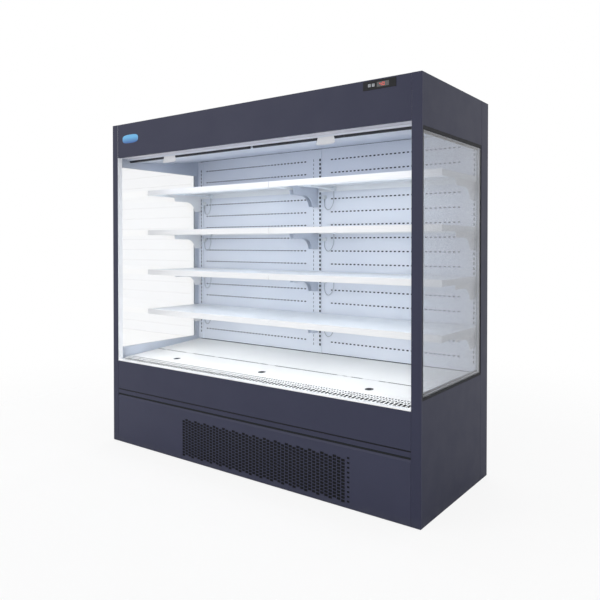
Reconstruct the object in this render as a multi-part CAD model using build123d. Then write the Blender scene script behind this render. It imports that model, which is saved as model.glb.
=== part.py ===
from build123d import *
import os
from math import asin, cos, pi, radians, sin, tan

# Open multideck display fridge: two 1 m shelf bays between glazed end walls, four rows of
# shelves, a self-contained cooling unit under the deck, and two pull-down night blinds.
# Frame: origin on the floor under the middle of the cabinet, +X right, +Y back, +Z up, in mm.

# ---- Overall ----
width = 2120.0
depth = 800.0
height = 1980.0
floor_gap = 2.0  # skirt and posts above the floor, carried by the feet
fit = 0.3  # gap between pieces that meet without pressing
skin = 0.8  # painted sheet steel

# ---- End walls ----
end_wall = 24.0
window_low = 556.0
window_head = 230.0  # top of the cabinet to the window's upper edge
rear_post = 95.0
post_face = 50.0
post_side = 10.0
post_leg = 34.0
post_radius = 3.0
seam_width = 1.6
glass_gap = 6.0  # rubber all round the glazed unit
pane = 4.0
glass_unit = 18.0
spacer = 12.0
lip_thick = 3.0
lip_below = 26.0  # glazing lip below and above the window's edge
lip_above = 27.0
lip_over = 16.0  # the upper lip stops under the ceiling

# ---- Rear wall, uprights and perforated panels ----
rear_wall_thick = 50.0
duct = 24.0
upright_mid_width = 80.0
upright_end_width = 50.0
upright_proud = 5.0
upright_sheet = 2.0
slot_pitch = 52.0
slot_wide = 6.0
slot_high = 14.0
slots_below = 1
slots_above = 1
upright_low = 562.0
upright_head = 156.0
panel_low = 562.0
panel_head = 154.0
perf_head = 225.0
perf_low = 635.0
perf_rows = 15
perf_web = 52.7  # sheet left beside each perforation
perf_high = 4.0
perf_per_row = 2
perf_side = 50.0
socket_size = (26.0, 12.0, 22.0)

# ---- Shelves ----
shelf_rows = 4
lowest_shelf = 808.0
top_shelf_room = 170.0  # least height over the top shelf
shelf_deep = 450.0
shelf_stand_off = 8.0
shelf_sheet = 1.2
shelf_flange = 30.0
shelf_end_gap = 3.0
rib_setback = 198.0
rib_deep = 40.0
rib_high = 14.0
bracket_thick = 3.0
bracket_inset = 14.0  # bracket plane from the end of its bay at the mid upright
bracket_setback = 98.0
bracket_arm = 22.0
bracket_nose = 203.0
bracket_step = 10.0
bracket_tip_high = 8.0
bracket_web = 57.0
bracket_heel = 120.0
bracket_sweep = 75.0
bracket_foot = 58.0
hook_drop = 38.0
hook_pitches = 1
hook_high = 10.0
hook_thick = 3.0
rail_high = 34.0
rail_thick = 6.0
rail_rise = 2.0
lamp_deep = 30.0
lamp_high = 14.0
lamp_setback = 12.0
lamp_inset = 40.0
conduit_wide = 14.0
conduit_high = 8.0
conduit_drop = 14.0
connector = (20.0, 26.0, 20.0)
lamp_edge = 6.0
lamp_side = 8.0

# ---- Lamp leads ----
lead_radius = 2.3
lead_sides = 3
socket_from_bay = 64.0
connector_from_bay = 148.0
socket_drop = 62.0
lead_slack = (0.0, 5.0, -4.0, 3.0)  # how much lower each row's loop hangs

# ---- Canopy ----
header_high = 204.0
header_setback = 1.5
header_return = 20.5
top_flange = 25.0
canopy_sheet = 1.2
lamp_box_setback = 22.0
lamp_box_deep = 75.5
lamp_box_head = 180.0
diffuser_sag = 4.0
ceiling_setback = 145.0
ceiling_head = 212.0
ceiling_rise = 60.0
ceiling_lip = 27.0
ceiling_flat = 25.0

# ---- Night blinds ----
roller_setback = 138.0
roller_head = 118.0
roller_radius = 26.0
roller_pin = 6.0
pin_clearance = 0.05
tab_thick = 4.0
mid_tab_thick = 8.0
tab_reach = 18.0
cloth_thick = 0.8
bar_deep = 16.0
bar_high = 16.0
bar_corner = 3.0
bar_head = 223.0
bar_end_gap = 14.0
handle_wide = 112.0
handle_drop = 28.0
handle_rise = 14.0  # above the bar's underside
handle_off = (-130.0, -26.0)  # from the middle of the left and right bar
handle_thick = 3.0
handle_lip = 10.0

# ---- Deck ----
deck_setback = 155.0
deck_front_z = 522.0
deck_slope = 3.7
seam_along = 185.0
seam_gap = 4.0
deck_rear_gap = 6.0
deck_side_gap = 4.0
cover_count = 3
cover_gap = 1.5
cover_sheet = 1.2
pan_sheet = 1.5
cover_flange = 10.0
finger_hole = 12.5
finger_along = 40.0
tab_wide = 34.0
tabs_per_pan = 2
grille_along = 134.0
grille_slot = (90.0, 14.0)
grille_pitch = 122.0
fine_slot = (170.0, 4.0)
fine_pitch = 204.0
fine_rows = (38.0, 66.0)
grille_leg_x = (0.89, 0.3)  # share of the inner half width

# ---- Tub and fronts ----
tub_low = 300.0
tub_floor = 335.0
tub_setback = 8.0
tub_wall = 30.0
tub_top = 505.0
trim_low = 304.5
trim_high = 328.5
front_setback = 1.0
front_low = 331.5
front_groove = 4.0  # shadow line between the panel and its trim strip
lip_rail_deep = 20.0
lip_rail_low = 507.0
lip_rail_high = 523.0
kick_high = 301.5
kick_sheet = 1.5
louvre_left = -432.0
louvre_right = 672.0
louvre_low = 22.0
louvre_high = 246.0
louvre_pitch_x = 138.0
louvre_pitch_z = 23.4
louvre_long = 118.0
louvre_tall = 9.0
vent_x = 689.0
vent_size = 12.0
clip_places = (-0.89, -0.52, 0.75, 0.89)  # share of the inner half width
clip_wide = 24.0
clip_low = 60.0
clip_thick = 3.0

# ---- Base ----
tray_low = 30.0
tray_high = 92.0
tray_wall = 2.0
tray_setback = 50.0
tray_rear_gap = 25.0
tray_rib_x = (-600.0, 60.0, 600.0)
foot_radius = 26.0
foot_pad = 8.0
foot_stud = 6.0
foot_stud_long = 26.0
foot_nut = 11.0
foot_nut_high = 8.0
foot_inset_x = 56.0
foot_inset_y = 50.0
rear_cover_sheet = 2.0
cover_slot = (300.0, 10.0)
cover_slot_x = (-500.0, 300.0)
cover_slot_low = 120.0
cover_slot_pitch = 30.0
cover_slot_rows = 5

# ---- Cooling unit ----
evap_end_gap = 136.0
evap_deep = 200.0
evap_rear_gap = 130.0
evap_top = 490.0
fin_count = 10
fin_thick = 3.0
fin_root = 4.0
coil_tube = 6.0
coil_tubes_y = (40.0, 90.0, 130.0, 180.0)
coil_tubes_z = (30.0, 80.0)
evap_fan_x = 520.0
evap_fan_z = 430.0
evap_fan_radius = 77.0
evap_fan_hole = 82.0
evap_motor_gap = 12.0
evap_motor_long = 40.0
fan_shaft = 4.0
motor_radius = 27.0
motor_arm = 6.0
motor_shaft = 26.0
evap_fan_wheel = (22.0, 22.0)  # hub radius and width
condenser_x = -220.0
condenser_half = 200.0
condenser_bend_pitch = 50.0
coil_foot = 20.0
condenser_low = 60.0
condenser_high = 272.0
condenser_setback = 55.0
condenser_deep = 60.0
condenser_fan_radius = 92.0
condenser_fan_hole = 97.0
condenser_fan_wheel = (24.0, 24.0)
condenser_motor_gap = 14.0
condenser_motor_long = 44.0
shroud_deep = 34.0
wheel_lead = 14.0  # hub's front before the fan hole's rear
blade_half = 1.2
blade_count = 5
blade_pitch = 62.0
round_sides = 12  # facets of the hidden round pieces
hole_sides = 16  # facets of the larger round holes and the rollers
foot_sides = 8
comp_x = 330.0
comp_y = -60.0
comp_radius = 92.0
comp_high = 190.0
comp_plate = (220.0, 160.0)
grommet_radius = 12.0
grommet_high = 22.0
terminal_box = 60.0
pipe_radius = 6.0
pipe_inset = 76.0
pipe_sides = 6
pipe_clear = 60.0
pipe_rise = 30.0
receiver_place = (-700.0, -120.0)
receiver_size = (42.0, 150.0)
hole_clearance = 2.0
sleeve_wall = 3.0
drain_half = 16.0
drain_drop = 34.0
gland_radius = 10.0
gland_z = 120.0
gland_long = 21.0
gland_nut = 9.0
box_size = (240.0, 163.0, 150.0)
box_inset = 236.0
box_wall = 2.0
box_lid_over = 4.0
box_lid_high = 12.0

# ---- Controller ----
control_inset = 75.0
control_wide = 168.0
control_head = 6.0
control_tall = 40.0
bezel_face = 2.5
bezel_deep = 36.0
bezel_wall = 2.0
key_size = 13.4
key_gap = 0.3
key_setback = 0.2
key_inset = (33.0, 53.0)
key_rim = 1.5
display_inset = 71.0
display_size = (62.0, 22.0)
display_rim = 2.0
display_setback = 0.4
display_deep = 6.0

# ---- Worked out from the sizes above ----
half = width / 2
front = -depth / 2
back = depth / 2
inner = half - end_wall  # inside face of the end walls
between_posts = half - post_face
wall_front = back - rear_wall_thick
panel_front = wall_front - duct - 1.0
upright_front = panel_front - upright_proud
seal_out = inner + lip_thick
glass_out = seal_out + glass_unit
window_high = height - window_head
upright_high = height - upright_head
panel_high = height - panel_head
perf_top = height - perf_head
perf_pitch = (perf_top - perf_low) / (perf_rows - 1)
header_low = height - header_high
lamp_box_front = front + lamp_box_setback
lamp_box_rear = lamp_box_front + lamp_box_deep
lamp_box_high = height - lamp_box_head
ceiling_front = front + ceiling_setback
ceiling_low = height - ceiling_head
roller_y = front + roller_setback
roller_z = height - roller_head
bar_low = height - bar_head
pitches_per_shelf = int((ceiling_low - lowest_shelf - top_shelf_room) / (shelf_rows - 1) / slot_pitch)
shelf_pitch = pitches_per_shelf * slot_pitch
shelf_tops = [lowest_shelf + row * shelf_pitch for row in range(shelf_rows)]
shelf_rear = upright_front - shelf_stand_off
shelf_front = shelf_rear - shelf_deep
deck_front_y = front + deck_setback
deck_rear_along = (panel_front - deck_rear_gap - deck_front_y) / cos(radians(deck_slope))
tub_face = front + tub_setback
tray_front = front + tray_setback
tray_rear = back - tray_rear_gap
tray_reach = inner - 2
tray_inside = tray_low + tray_wall
comp_low = tray_inside + 12
evap_half = inner - evap_end_gap
evap_rear = back - evap_rear_gap
evap_front = evap_rear - evap_deep
condenser_front = front + condenser_setback
condenser_rear = condenser_front + condenser_deep
gland_x = inner - box_inset
control_right = between_posts - control_inset
control_left = control_right - control_wide
control_high = height - control_head
control_low = control_high - control_tall
control_middle = (control_low + control_high) / 2
key_places = [control_left + inset for inset in key_inset]


# ---- Helpers ----
def block(x0, x1, y0, y1, z0, z1):
    """A box between two corners."""
    centre = ((x0 + x1) / 2, (y0 + y1) / 2, (z0 + z1) / 2)
    return Pos(*centre) * Box(abs(x1 - x0), abs(y1 - y0), abs(z1 - z0))


def hollow(x0, x1, y0, y1, z0, z1, wall):
    """A closed sheet box with its foam left out."""
    inside = block(x0 + wall, x1 - wall, y0 + wall, y1 - wall, z0 + wall, z1 - wall)
    return block(x0, x1, y0, y1, z0, z1) - inside


def window(u, v, wide, tall):
    """A rectangular hole about (u, v) for plate()."""
    a, b = wide / 2, tall / 2
    corners = [(u - a, v - b), (u + a, v - b), (u + a, v + b), (u - a, v + b)]
    return Wire.make_polygon(corners, close=True)


def ring(u, v, radius, sides=hole_sides):
    """A round hole about (u, v) for plate(), in facets."""
    turns = [2 * pi * number / sides for number in range(sides)]
    points = [(u + radius * cos(turn), v + radius * sin(turn)) for turn in turns]
    return Wire.make_polygon(points, close=True)


def plate(plane, u0, u1, v0, v1, thick, holes=()):
    """A flat sheet with holes, drawn on a plane and thickened along its normal."""
    middle = ((u0 + u1) / 2, (v0 + v1) / 2)
    outline = window(*middle, u1 - u0, v1 - v0)
    return extrude(plane * Face(outline, list(holes)), amount=thick)


def facing_front(y):
    """A plane of (x, z) whose normal points to the front."""
    return Plane.XZ.offset(-y)


def along_x(points, x0, x1):
    """A closed outline of (y, z) points, drawn out from x0 to x1."""
    face = make_face(Polyline(*points, close=True))
    return extrude(Plane.YZ.offset(x0) * face, amount=x1 - x0)


def folded(points, thick, x0, x1, side=Side.LEFT):
    """A sheet folded along a path of (y, z) points, drawn out from x0 to x1."""
    outline = offset(Polyline(*points), amount=thick, side=side, kind=Kind.INTERSECTION)
    return extrude(Plane.YZ.offset(x0) * make_face(outline.edges()), amount=x1 - x0)


def rod(x, y, z, direction, radius, length, sides=0):
    """A round bar from a point along a direction; with sides, a faceted one inside that radius."""
    section = RegularPolygon(radius, sides) if sides else Circle(radius)
    return extrude(Plane((x, y, z), z_dir=direction) * section, amount=length)


def bore(x, y, z, direction, radius, length, sides=round_sides):
    """A faceted hole whose flats clear a radius."""
    section = RegularPolygon(radius, sides, major_radius=False)
    return extrude(Plane((x, y, z), z_dir=direction) * section, amount=length)


def both_sides(shape):
    """The shape and its mirror image across the middle of the cabinet, as two solids."""
    return Compound(children=[*shape.solids(), *mirror(shape, about=Plane.YZ).solids()])


def group(shapes):
    """Several separate solids in one sub-part."""
    return Compound(children=[solid for shape in shapes for solid in shape.solids()])


def on_deck(shape):
    """A piece drawn flat, with y from the deck's front edge, laid on the sloping deck."""
    return Location((0, deck_front_y, deck_front_z), (deck_slope, 0, 0)) * shape


def deck_height(y, below=0.0):
    """Height of the sloping deck, or of a plane below it, at a depth in the cabinet."""
    slope = radians(deck_slope)
    return deck_front_z + (y - deck_front_y) * tan(slope) - below / cos(slope)


# ---- End walls ----
def end_frame():
    """Right end wall: lower and upper panels joined by the rear post, open to the front."""

    def outline(grow):
        y0, y1 = front + post_side - grow, back + grow
        low, high = floor_gap - grow, height + grow
        whole = block(inner - grow, half + grow, y0, y1, low, high)
        y2 = back - rear_post - grow
        opening = block(inner - 9, half + 9, y0 - 9, y2, window_low + grow, window_high - grow)
        return whole - opening

    frame = outline(0) - outline(-skin)
    seam_y = back - rear_post
    for z0, z1 in ((floor_gap, window_low), (window_high, height)):
        frame -= block(half - seam_width / 2, half + 1, seam_y, seam_y + seam_width, z0 - 1, z1 + 1)
    y0, y1 = front + post_leg, seam_y
    for low, edge, high in ((window_low - lip_below, window_low, window_low + lip_above),
                            (window_high + lip_over, window_high, window_high - lip_above)):
        frame += block(inner - lip_thick, inner, y0, y1, *sorted((low, high)))
        frame += block(inner, seal_out, front + post_side, y1, *sorted((edge, high)))
    return frame


def front_post():
    """Right front post: a closed profile that wraps the front edge of the end wall."""

    def profile(shrink):
        x0, x1, x2 = between_posts + shrink, inner - shrink, half - shrink
        y0, y1, y2 = front + shrink, front + post_side - shrink, front + post_leg - shrink
        if shrink:
            return Polyline((x0, y0), (x1, y0), (x1, y2), (x0, y2), close=True)
        return Polyline((x0, y0), (x2, y0), (x2, y1), (x1, y1), (x1, y2), (x0, y2), close=True)

    outside = extrude(Plane.XY.offset(floor_gap) * make_face(profile(0)), amount=height - floor_gap)
    edges = outside.edges().filter_by(Axis.Z).group_by(Axis.Y)[0]
    outside = fillet(edges, post_radius)
    hollow_high = height - floor_gap - 2 * skin
    inside = extrude(Plane.XY.offset(floor_gap + skin) * make_face(profile(1.5)), amount=hollow_high)
    return outside - inside


def glass_box(x0, x1, grow=0.0):
    """The space of the glazed unit between two depths in the wall, grown all round."""
    gap = glass_gap - grow
    y0, y1 = front + post_side + gap, back - rear_post - gap
    return block(x0, x1, y0, y1, window_low + gap, window_high - gap)


def side_glass():
    """Right double-glazed unit: two panes."""
    return group([glass_box(seal_out, seal_out + pane), glass_box(glass_out - pane, glass_out)])


def glass_seals():
    """Rubber round each glazed unit, with the dark spacer bar between its panes."""
    seal = glass_box(seal_out, glass_out, glass_gap) - glass_box(seal_out - 1, glass_out + 1)
    bar = glass_box(seal_out + pane, glass_out - pane)
    seal += bar - glass_box(seal_out, glass_out, -spacer)
    return both_sides(seal)


# ---- Rear wall ----
def rear_wall():
    """Insulated rear wall: outer and inner sheets with the foam left out."""
    return hollow(-inner, inner, wall_front, back, tub_low, height, skin)


def upright_slots():
    """Heights of the bracket slots, counted from the lowest shelf's upper hook."""
    first = lowest_shelf - hook_drop - slots_below * slot_pitch
    count = (shelf_rows - 1) * pitches_per_shelf + slots_below + slots_above + 1
    return [first + number * slot_pitch for number in range(count)]


def bracket_columns():
    """Bracket planes across the cabinet: (left, right) of each bay."""
    end = inner - upright_end_width / 2
    return [(-end, -bracket_inset), (bracket_inset, end)]


def upright(x0, x1, columns):
    """A channel screwed to the rear wall, with one column of slots per bracket."""
    low, high, sheet = upright_low, upright_high, upright_sheet
    holes = [window(x, z, slot_wide, slot_high) for x in columns for z in upright_slots()]
    channel = plate(facing_front(upright_front + sheet), x0, x1, low, high, sheet, holes)
    for x in (x0, x1 - sheet):
        channel += block(x, x + sheet, upright_front + sheet, wall_front, low, high)
    return channel


def shelf_uprights():
    (far_left, mid_left), (mid_right, far_right) = bracket_columns()
    mid = upright_mid_width / 2
    end = inner - upright_end_width
    return group([
        upright(-inner, -end, [far_left]),
        upright(-mid, mid, [mid_left, mid_right]),
        upright(end, inner, [far_right]),
    ])


def bay(side):
    """Bay limits across the cabinet: side -1 is left and 1 is right."""
    return (-inner, 0.0) if side < 0 else (0.0, inner)


def rear_panel(side):
    """Perforated duct panel of one bay, with the lamp sockets that clip into it."""
    mid = upright_mid_width / 2 + fit
    end = inner - upright_end_width - fit
    x0, x1 = sorted((side * mid, side * end))
    pitch = (x1 - x0 - 2 * perf_side) / perf_per_row
    centres = [x0 + perf_side + (number + 0.5) * pitch for number in range(perf_per_row)]
    levels = [perf_top - row * perf_pitch for row in range(perf_rows)]
    holes = [window(x, z, pitch - perf_web, perf_high) for x in centres for z in levels]
    sheet = plate(facing_front(panel_front + skin), x0, x1, panel_low, panel_high, skin, holes)
    for x in (x0, x1 - skin):
        sheet += block(x, x + skin, panel_front + skin, wall_front, panel_low, panel_high)
    for z in (panel_low, panel_high - skin):
        sheet += block(x0, x1, panel_front + skin, wall_front, z, z + skin)
    wide, deep, tall = socket_size
    sockets = []
    for top in shelf_tops:
        x, z = bay(side)[0] + socket_from_bay, top - socket_drop
        y = panel_front
        sockets.append(block(x - wide / 2, x + wide / 2, y - deep, y, z - tall / 2, z + tall / 2))
    return group([sheet, *sockets])


# ---- Shelves ----
def shelf_span(side):
    x0, x1 = bay(side)
    return x0 + shelf_end_gap / 2, x1 - shelf_end_gap / 2


def shelf(side, top):
    """Sheet pan with turned-down edges and two stiffening ribs; notched for its brackets."""
    x0, x1 = shelf_span(side)
    sheet = shelf_sheet
    low = top - shelf_flange
    pan = block(x0, x1, shelf_front, shelf_rear, low, top)
    pan -= block(x0 + sheet, x1 - sheet, shelf_front + sheet, shelf_rear - sheet, low - 1, top - sheet)
    notch = 2 * bracket_inset
    for x in (x0, x1 - notch):
        pan -= block(x - 1, x + notch + 1, shelf_rear - 2 * sheet, shelf_rear + 1, low - 1, top - sheet)
    y0, y1 = shelf_front + rib_setback, shelf_front + rib_setback + rib_deep
    rib = block(x0 + 2 * notch, x1 - 2 * notch, y0, y1, top - rib_high, top - sheet)
    rib -= block(x0, x1, y0 + sheet, y1 - sheet, top - rib_high + sheet, top - sheet)
    return pan + rib


def bracket(x, top):
    """Bracket plate in one outline: thin front arm, deeper web, swept heel and two hooks."""
    face_top = top - shelf_sheet
    rear = upright_front - fit
    web, heel = face_top - bracket_web, face_top - bracket_heel
    centre_y = rear - bracket_foot - bracket_sweep
    centre_z = web - bracket_sweep
    turn = asin((heel - centre_z) / bracket_sweep)
    steps = 4
    swept = [turn + (pi / 2 - turn) * step / steps for step in range(steps)]
    hook_rear = upright_front + upright_sheet + fit
    nose, tip = shelf_front + bracket_nose, shelf_front + bracket_setback
    points = [(centre_y, web), (nose + bracket_step, web), (nose, face_top - bracket_arm),
              (tip, face_top - bracket_tip_high), (tip, face_top), (rear, face_top)]
    for step in range(2):
        z = top - hook_drop - step * hook_pitches * slot_pitch
        high, low = z + hook_high / 2, z - hook_high / 2
        tip = hook_rear + hook_thick
        toe = low - hook_thick * 2
        points += [(rear, high), (tip, high), (tip, toe), (hook_rear, toe), (hook_rear, low), (rear, low)]
    points.append((rear, heel))
    radius = bracket_sweep
    points += [(centre_y + radius * cos(angle), centre_z + radius * sin(angle)) for angle in swept]
    return along_x(points, x - bracket_thick / 2, x + bracket_thick / 2)


def shelf_brackets():
    return group([bracket(x, top) for top in shelf_tops for pair in bracket_columns() for x in pair])


def price_rails():
    """Extruded label rail hooked over each shelf's front flange, with a sloping face."""
    rails = []
    for top in shelf_tops:
        high = top + rail_rise
        y0, y1 = shelf_front - rail_thick, shelf_front
        points = [(y1, high - 1), (y1 + 10, high - 1), (y1 + 10, top), (y1, top),
                  (y1, high - rail_high + 4), (y1 - 2, high - rail_high), (y0 + 1, high - rail_high),
                  (y0, high - rail_high + 2), (y0 + 1, high), (y1, high)]
        rails += [along_x(points, *shelf_span(side)) for side in (-1, 1)]
    return group(rails)


def shelf_lamps():
    """Lamp bar under each shelf's front edge, with its wiring strip and connector."""
    lamps = []
    wide, deep, _ = connector
    y0 = shelf_front + lamp_setback
    y1 = y0 + lamp_deep
    strip_end = shelf_rear - shelf_sheet - fit
    for top in shelf_tops:
        under = top - shelf_sheet
        side_low, low = under - lamp_side, under - lamp_high
        points = [(y0, under), (y0, side_low), (y0 + lamp_edge, low),
                  (y1 - lamp_edge, low), (y1, side_low), (y1, under)]
        strip_top = under - conduit_drop
        strip_low = strip_top - conduit_high
        for side in (-1, 1):
            x0, x1 = shelf_span(side)
            lamp = along_x(points, x0 + lamp_inset, x1 - lamp_inset)
            x = bay(side)[0] + connector_from_bay
            x0, x1 = x - conduit_wide / 2, x + conduit_wide / 2
            lamp += block(x0, x1, y1 - 1, y1 + lamp_edge, strip_low, under - 2)
            lamp += block(x0, x1, y1 - 1, strip_end, strip_low, strip_top)
            lamp += block(x - wide / 2, x + wide / 2, strip_end - deep, strip_end, connector_low(top), under)
            lamps.append(lamp)
    return group(lamps)


def connector_low(top):
    """Underside of a lamp's connector, where its lead goes in."""
    return top - shelf_sheet - connector[2] - conduit_high


def lead_route(side, row):
    """Route of one lamp lead: down out of its socket, round in a loop and up to the connector."""
    top = shelf_tops[row]
    x0 = bay(side)[0] + socket_from_bay
    x1 = bay(side)[0] + connector_from_bay
    y0 = panel_front - socket_size[1] / 2
    y1 = shelf_rear - shelf_sheet - fit - connector[1] / 2
    z0 = top - socket_drop - socket_size[2] / 2
    z1 = connector_low(top)
    low = z0 - lead_slack[row]
    return [
        (x0, y0, z0),
        (x0, y0, z0 - 20),
        (x0 + 6, y0 - 4, low - 48),
        (x0 + 33, y0 - 12, low - 69),
        (x0 + 65, y0 - 19, low - 55),
        (x0 + 83, y1 + 1, low - 18),
        (x1, y1, low / 2 + z1 / 2 - 6),
        (x1, y1, z1),
    ]


def lead_radii(route):
    """Bend radius at each corner: as large as its two runs allow."""
    radii = []
    for before, corner, after in zip(route, route[1:], route[2:]):
        run_in, run_out = corner - before, after - corner
        turn = radians(run_in.get_angle(run_out))
        radii.append(0.45 * min(run_in.length, run_out.length) / tan(turn / 2))
    return radii


def shelf_light_leads():
    """Thin lead from each socket to its lamp, hanging in a loop under the shelf."""
    leads = []
    for row in range(shelf_rows):
        for side in (-1, 1):
            route = [Vector(*point) for point in lead_route(side, row)]
            radii = lead_radii(route)
            path = FilletPolyline(*route, radius=radii)
            section = Plane(route[0], z_dir=(0, 0, -1)) * RegularPolygon(lead_radius, lead_sides)
            leads.append(sweep(section, path=path))
            print("lead", row, side, "length", round(path.length, 1), "least radius", round(min(radii), 1))
    return group(leads)


# ---- Canopy ----
def header_fascia():
    """Folded fascia between the front posts, with the controller's cut-out."""
    y0 = front + header_setback
    y1, y2 = y0 + header_return, y0 + header_return - 7
    path = [(y1, header_low), (y0, header_low), (y0, height), (y2, height)]
    fascia = folded(path, canopy_sheet, -between_posts, between_posts, Side.RIGHT)
    x0, x1, z0, z1 = control_left - fit, control_right + fit, control_low - fit, control_high + fit
    return fascia - block(x0, x1, y0 - 1, y0 + 3, z0, z1)


def canopy_top():
    """Roof sheet with turned-down edges and the tabs that carry the blind rollers."""
    y0, y1 = front + header_setback + canopy_sheet, wall_front
    low, high = height - top_flange, height
    y2 = front + post_leg
    roof = block(-inner, inner, y2, y1, high - canopy_sheet, high)
    roof += block(-between_posts, between_posts, y0 + header_return - 8, y2, high - canopy_sheet, high)
    for x in (-inner, inner - canopy_sheet):
        roof += block(x, x + canopy_sheet, y2, y1, low, high)
    roof += block(-inner, inner, y1 - canopy_sheet, y1, low, high)
    a = mid_tab_thick / 2
    tabs = [(-inner, -inner + tab_thick), (-a, a), (inner - tab_thick, inner)]
    for x0, x1 in tabs:
        tab = block(x0, x1, roller_y - tab_reach, roller_y + tab_reach, roller_z - tab_reach, high)
        tab -= bore(x0 - 1, roller_y, roller_z, (1, 0, 0), roller_pin + pin_clearance, x1 - x0 + 2)
        roof += tab
    return roof


def lamp_carrier():
    """Channel over the light strip, whose rear leg is the front lip of the blind slot."""
    path = [(lamp_box_front, header_low), (lamp_box_front, lamp_box_high),
            (lamp_box_rear, lamp_box_high), (lamp_box_rear, ceiling_low)]
    carrier = folded(path, canopy_sheet, -between_posts, between_posts, Side.RIGHT)
    top = lamp_box_high
    for x0, x1 in ((-inner, -between_posts), (between_posts, inner)):
        y0 = front + post_leg
        carrier += block(x0, x1, y0, lamp_box_rear, top - canopy_sheet, top)
        carrier += block(x0, x1, lamp_box_rear - canopy_sheet, lamp_box_rear, ceiling_low, top)
    return carrier


def canopy_light():
    """Diffuser of the light strip: a bowed translucent trough clipped into its channel."""
    y0 = lamp_box_front + canopy_sheet + fit
    y1 = lamp_box_rear - canopy_sheet - fit
    middle = (y0 + y1) / 2
    z0, z1 = header_low + 2, lamp_box_high - canopy_sheet
    outer = [Polyline((y1, z0), (y1, z1), (y0, z1), (y0, z0)),
             ThreePointArc((y0, z0), (middle, z0 - diffuser_sag), (y1, z0))]
    wall = 2.0
    y0, y1, z0, z1 = y0 + wall, y1 - wall, z0 + wall, z1 + 1
    inside = [Polyline((y1, z0), (y1, z1), (y0, z1), (y0, z0)),
              ThreePointArc((y0, z0), (middle, z0 - diffuser_sag), (y1, z0))]
    face = make_face(outer) - make_face(inside)
    reach = between_posts - 5
    return extrude(Plane.YZ.offset(-reach) * face, amount=2 * reach)


def canopy_rear_ceiling():
    """Inner ceiling: a lip behind the blind slot, then a curved sheet up to the rear panels."""
    y0, y1 = ceiling_front, panel_front
    bend = y0 + ceiling_flat
    points = [(y0, ceiling_low + ceiling_lip), (y0, ceiling_low), (bend, ceiling_low)]
    steps = 6
    for step in range(1, steps + 1):
        share = step / steps
        points.append((bend + (y1 - bend) * share, ceiling_low + ceiling_rise * share ** 1.5))
    return folded(points, canopy_sheet, -inner, inner, Side.LEFT)


# ---- Night blinds ----
def blind_span(side):
    """Across the cabinet: where the pins of one side's roller end."""
    end = inner - 1.0
    near = 0.5
    return (near, end) if side > 0 else (-end, -near)


def blind_roller(side):
    """Spring roller with the cloth wound on it, and a pin at each end."""
    x0, x1 = blind_span(side)
    near = mid_tab_thick / 2 + 8
    far = inner - tab_thick - 8
    body0, body1 = sorted((side * near, side * far))
    roller = rod(body0, roller_y, roller_z, (1, 0, 0), roller_radius, body1 - body0, hole_sides)
    return roller + rod(x0, roller_y, roller_z, (1, 0, 0), roller_pin, x1 - x0, round_sides)


def blind_plane():
    """Depth of the hanging cloth's middle, tangent to the roller's front."""
    return roller_y - roller_radius - fit - cloth_thick / 2


def blind_reach(side):
    return sorted((side * bar_end_gap, side * (inner - bar_end_gap)))


def blind_bar(side):
    """Bottom bar of one blind, with the pull handle that hangs through the slot."""
    x0, x1 = blind_reach(side)
    y = blind_plane()
    z0, z1 = bar_low, bar_low + bar_high
    ya, yd = y - bar_deep / 2, y + bar_deep / 2
    yb, yc, zb, zc = ya + bar_corner, yd - bar_corner, z0 + bar_corner, z1 - bar_corner
    outline = [(ya, zb), (yb, z0), (yc, z0), (yd, zb), (yd, zc), (yc, z1), (yb, z1), (ya, zc)]
    bar = along_x(outline, x0, x1)
    middle = (x0 + x1) / 2 + (handle_off[0] if side < 0 else handle_off[1])
    a, b = handle_wide / 2 - 8, handle_wide / 2
    top, low = bar_low + handle_rise, bar_low - handle_drop
    y1 = y - bar_deep / 2
    shape = Polyline((middle - a, top), (middle + a, top), (middle + b, low), (middle - b, low), close=True)
    handle = extrude(facing_front(y1) * make_face(shape), amount=handle_thick)
    lip = block(middle - b, middle + b, y1 - handle_lip, y1 - handle_thick + 1, low, low + handle_thick)
    cheeks = [along_x([(y1 - handle_thick, low), (y1 - handle_lip, low), (y1 - handle_thick, low + 22)],
                      x, x + handle_thick) for x in (middle - b, middle + b - handle_thick)]
    return bar + handle + lip + cheeks[0] + cheeks[1]


def blind_cloth(side):
    """The stretch of blind cloth between the roller and the bar at rest."""
    x0, x1 = blind_reach(side)
    y = blind_plane()
    inset = 6.0
    low = bar_low + bar_high
    return block(x0 + inset, x1 - inset, y - cloth_thick / 2, y + cloth_thick / 2, low, roller_z)


# ---- Deck ----
def deck_thirds():
    """Limits of the three covers across the cabinet."""
    reach = inner - deck_side_gap
    share = (2 * reach - (cover_count - 1) * cover_gap) / cover_count
    starts = [-reach + number * (share + cover_gap) for number in range(cover_count)]
    return [(start, start + share) for start in starts]


def deck_cover(number):
    """Lift-up front deck cover with a finger hole; it turns about its rear top edge."""
    x0, x1 = deck_thirds()[number]
    y0, y1 = 1.0, seam_along - seam_gap / 2
    flange = cover_flange + cover_sheet
    hole = ring((x0 + x1) / 2, finger_along, finger_hole)
    cover = plate(Plane.XY.offset(-cover_sheet), x0, x1, y0, y1, cover_sheet, [hole])
    cover += block(x0, x1, y0, y0 + cover_sheet, -flange, -cover_sheet)
    for x in (x0, x1 - cover_sheet):
        cover += block(x, x + cover_sheet, y0, seam_along - 26, -flange, -cover_sheet)
    return on_deck(cover)


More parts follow.
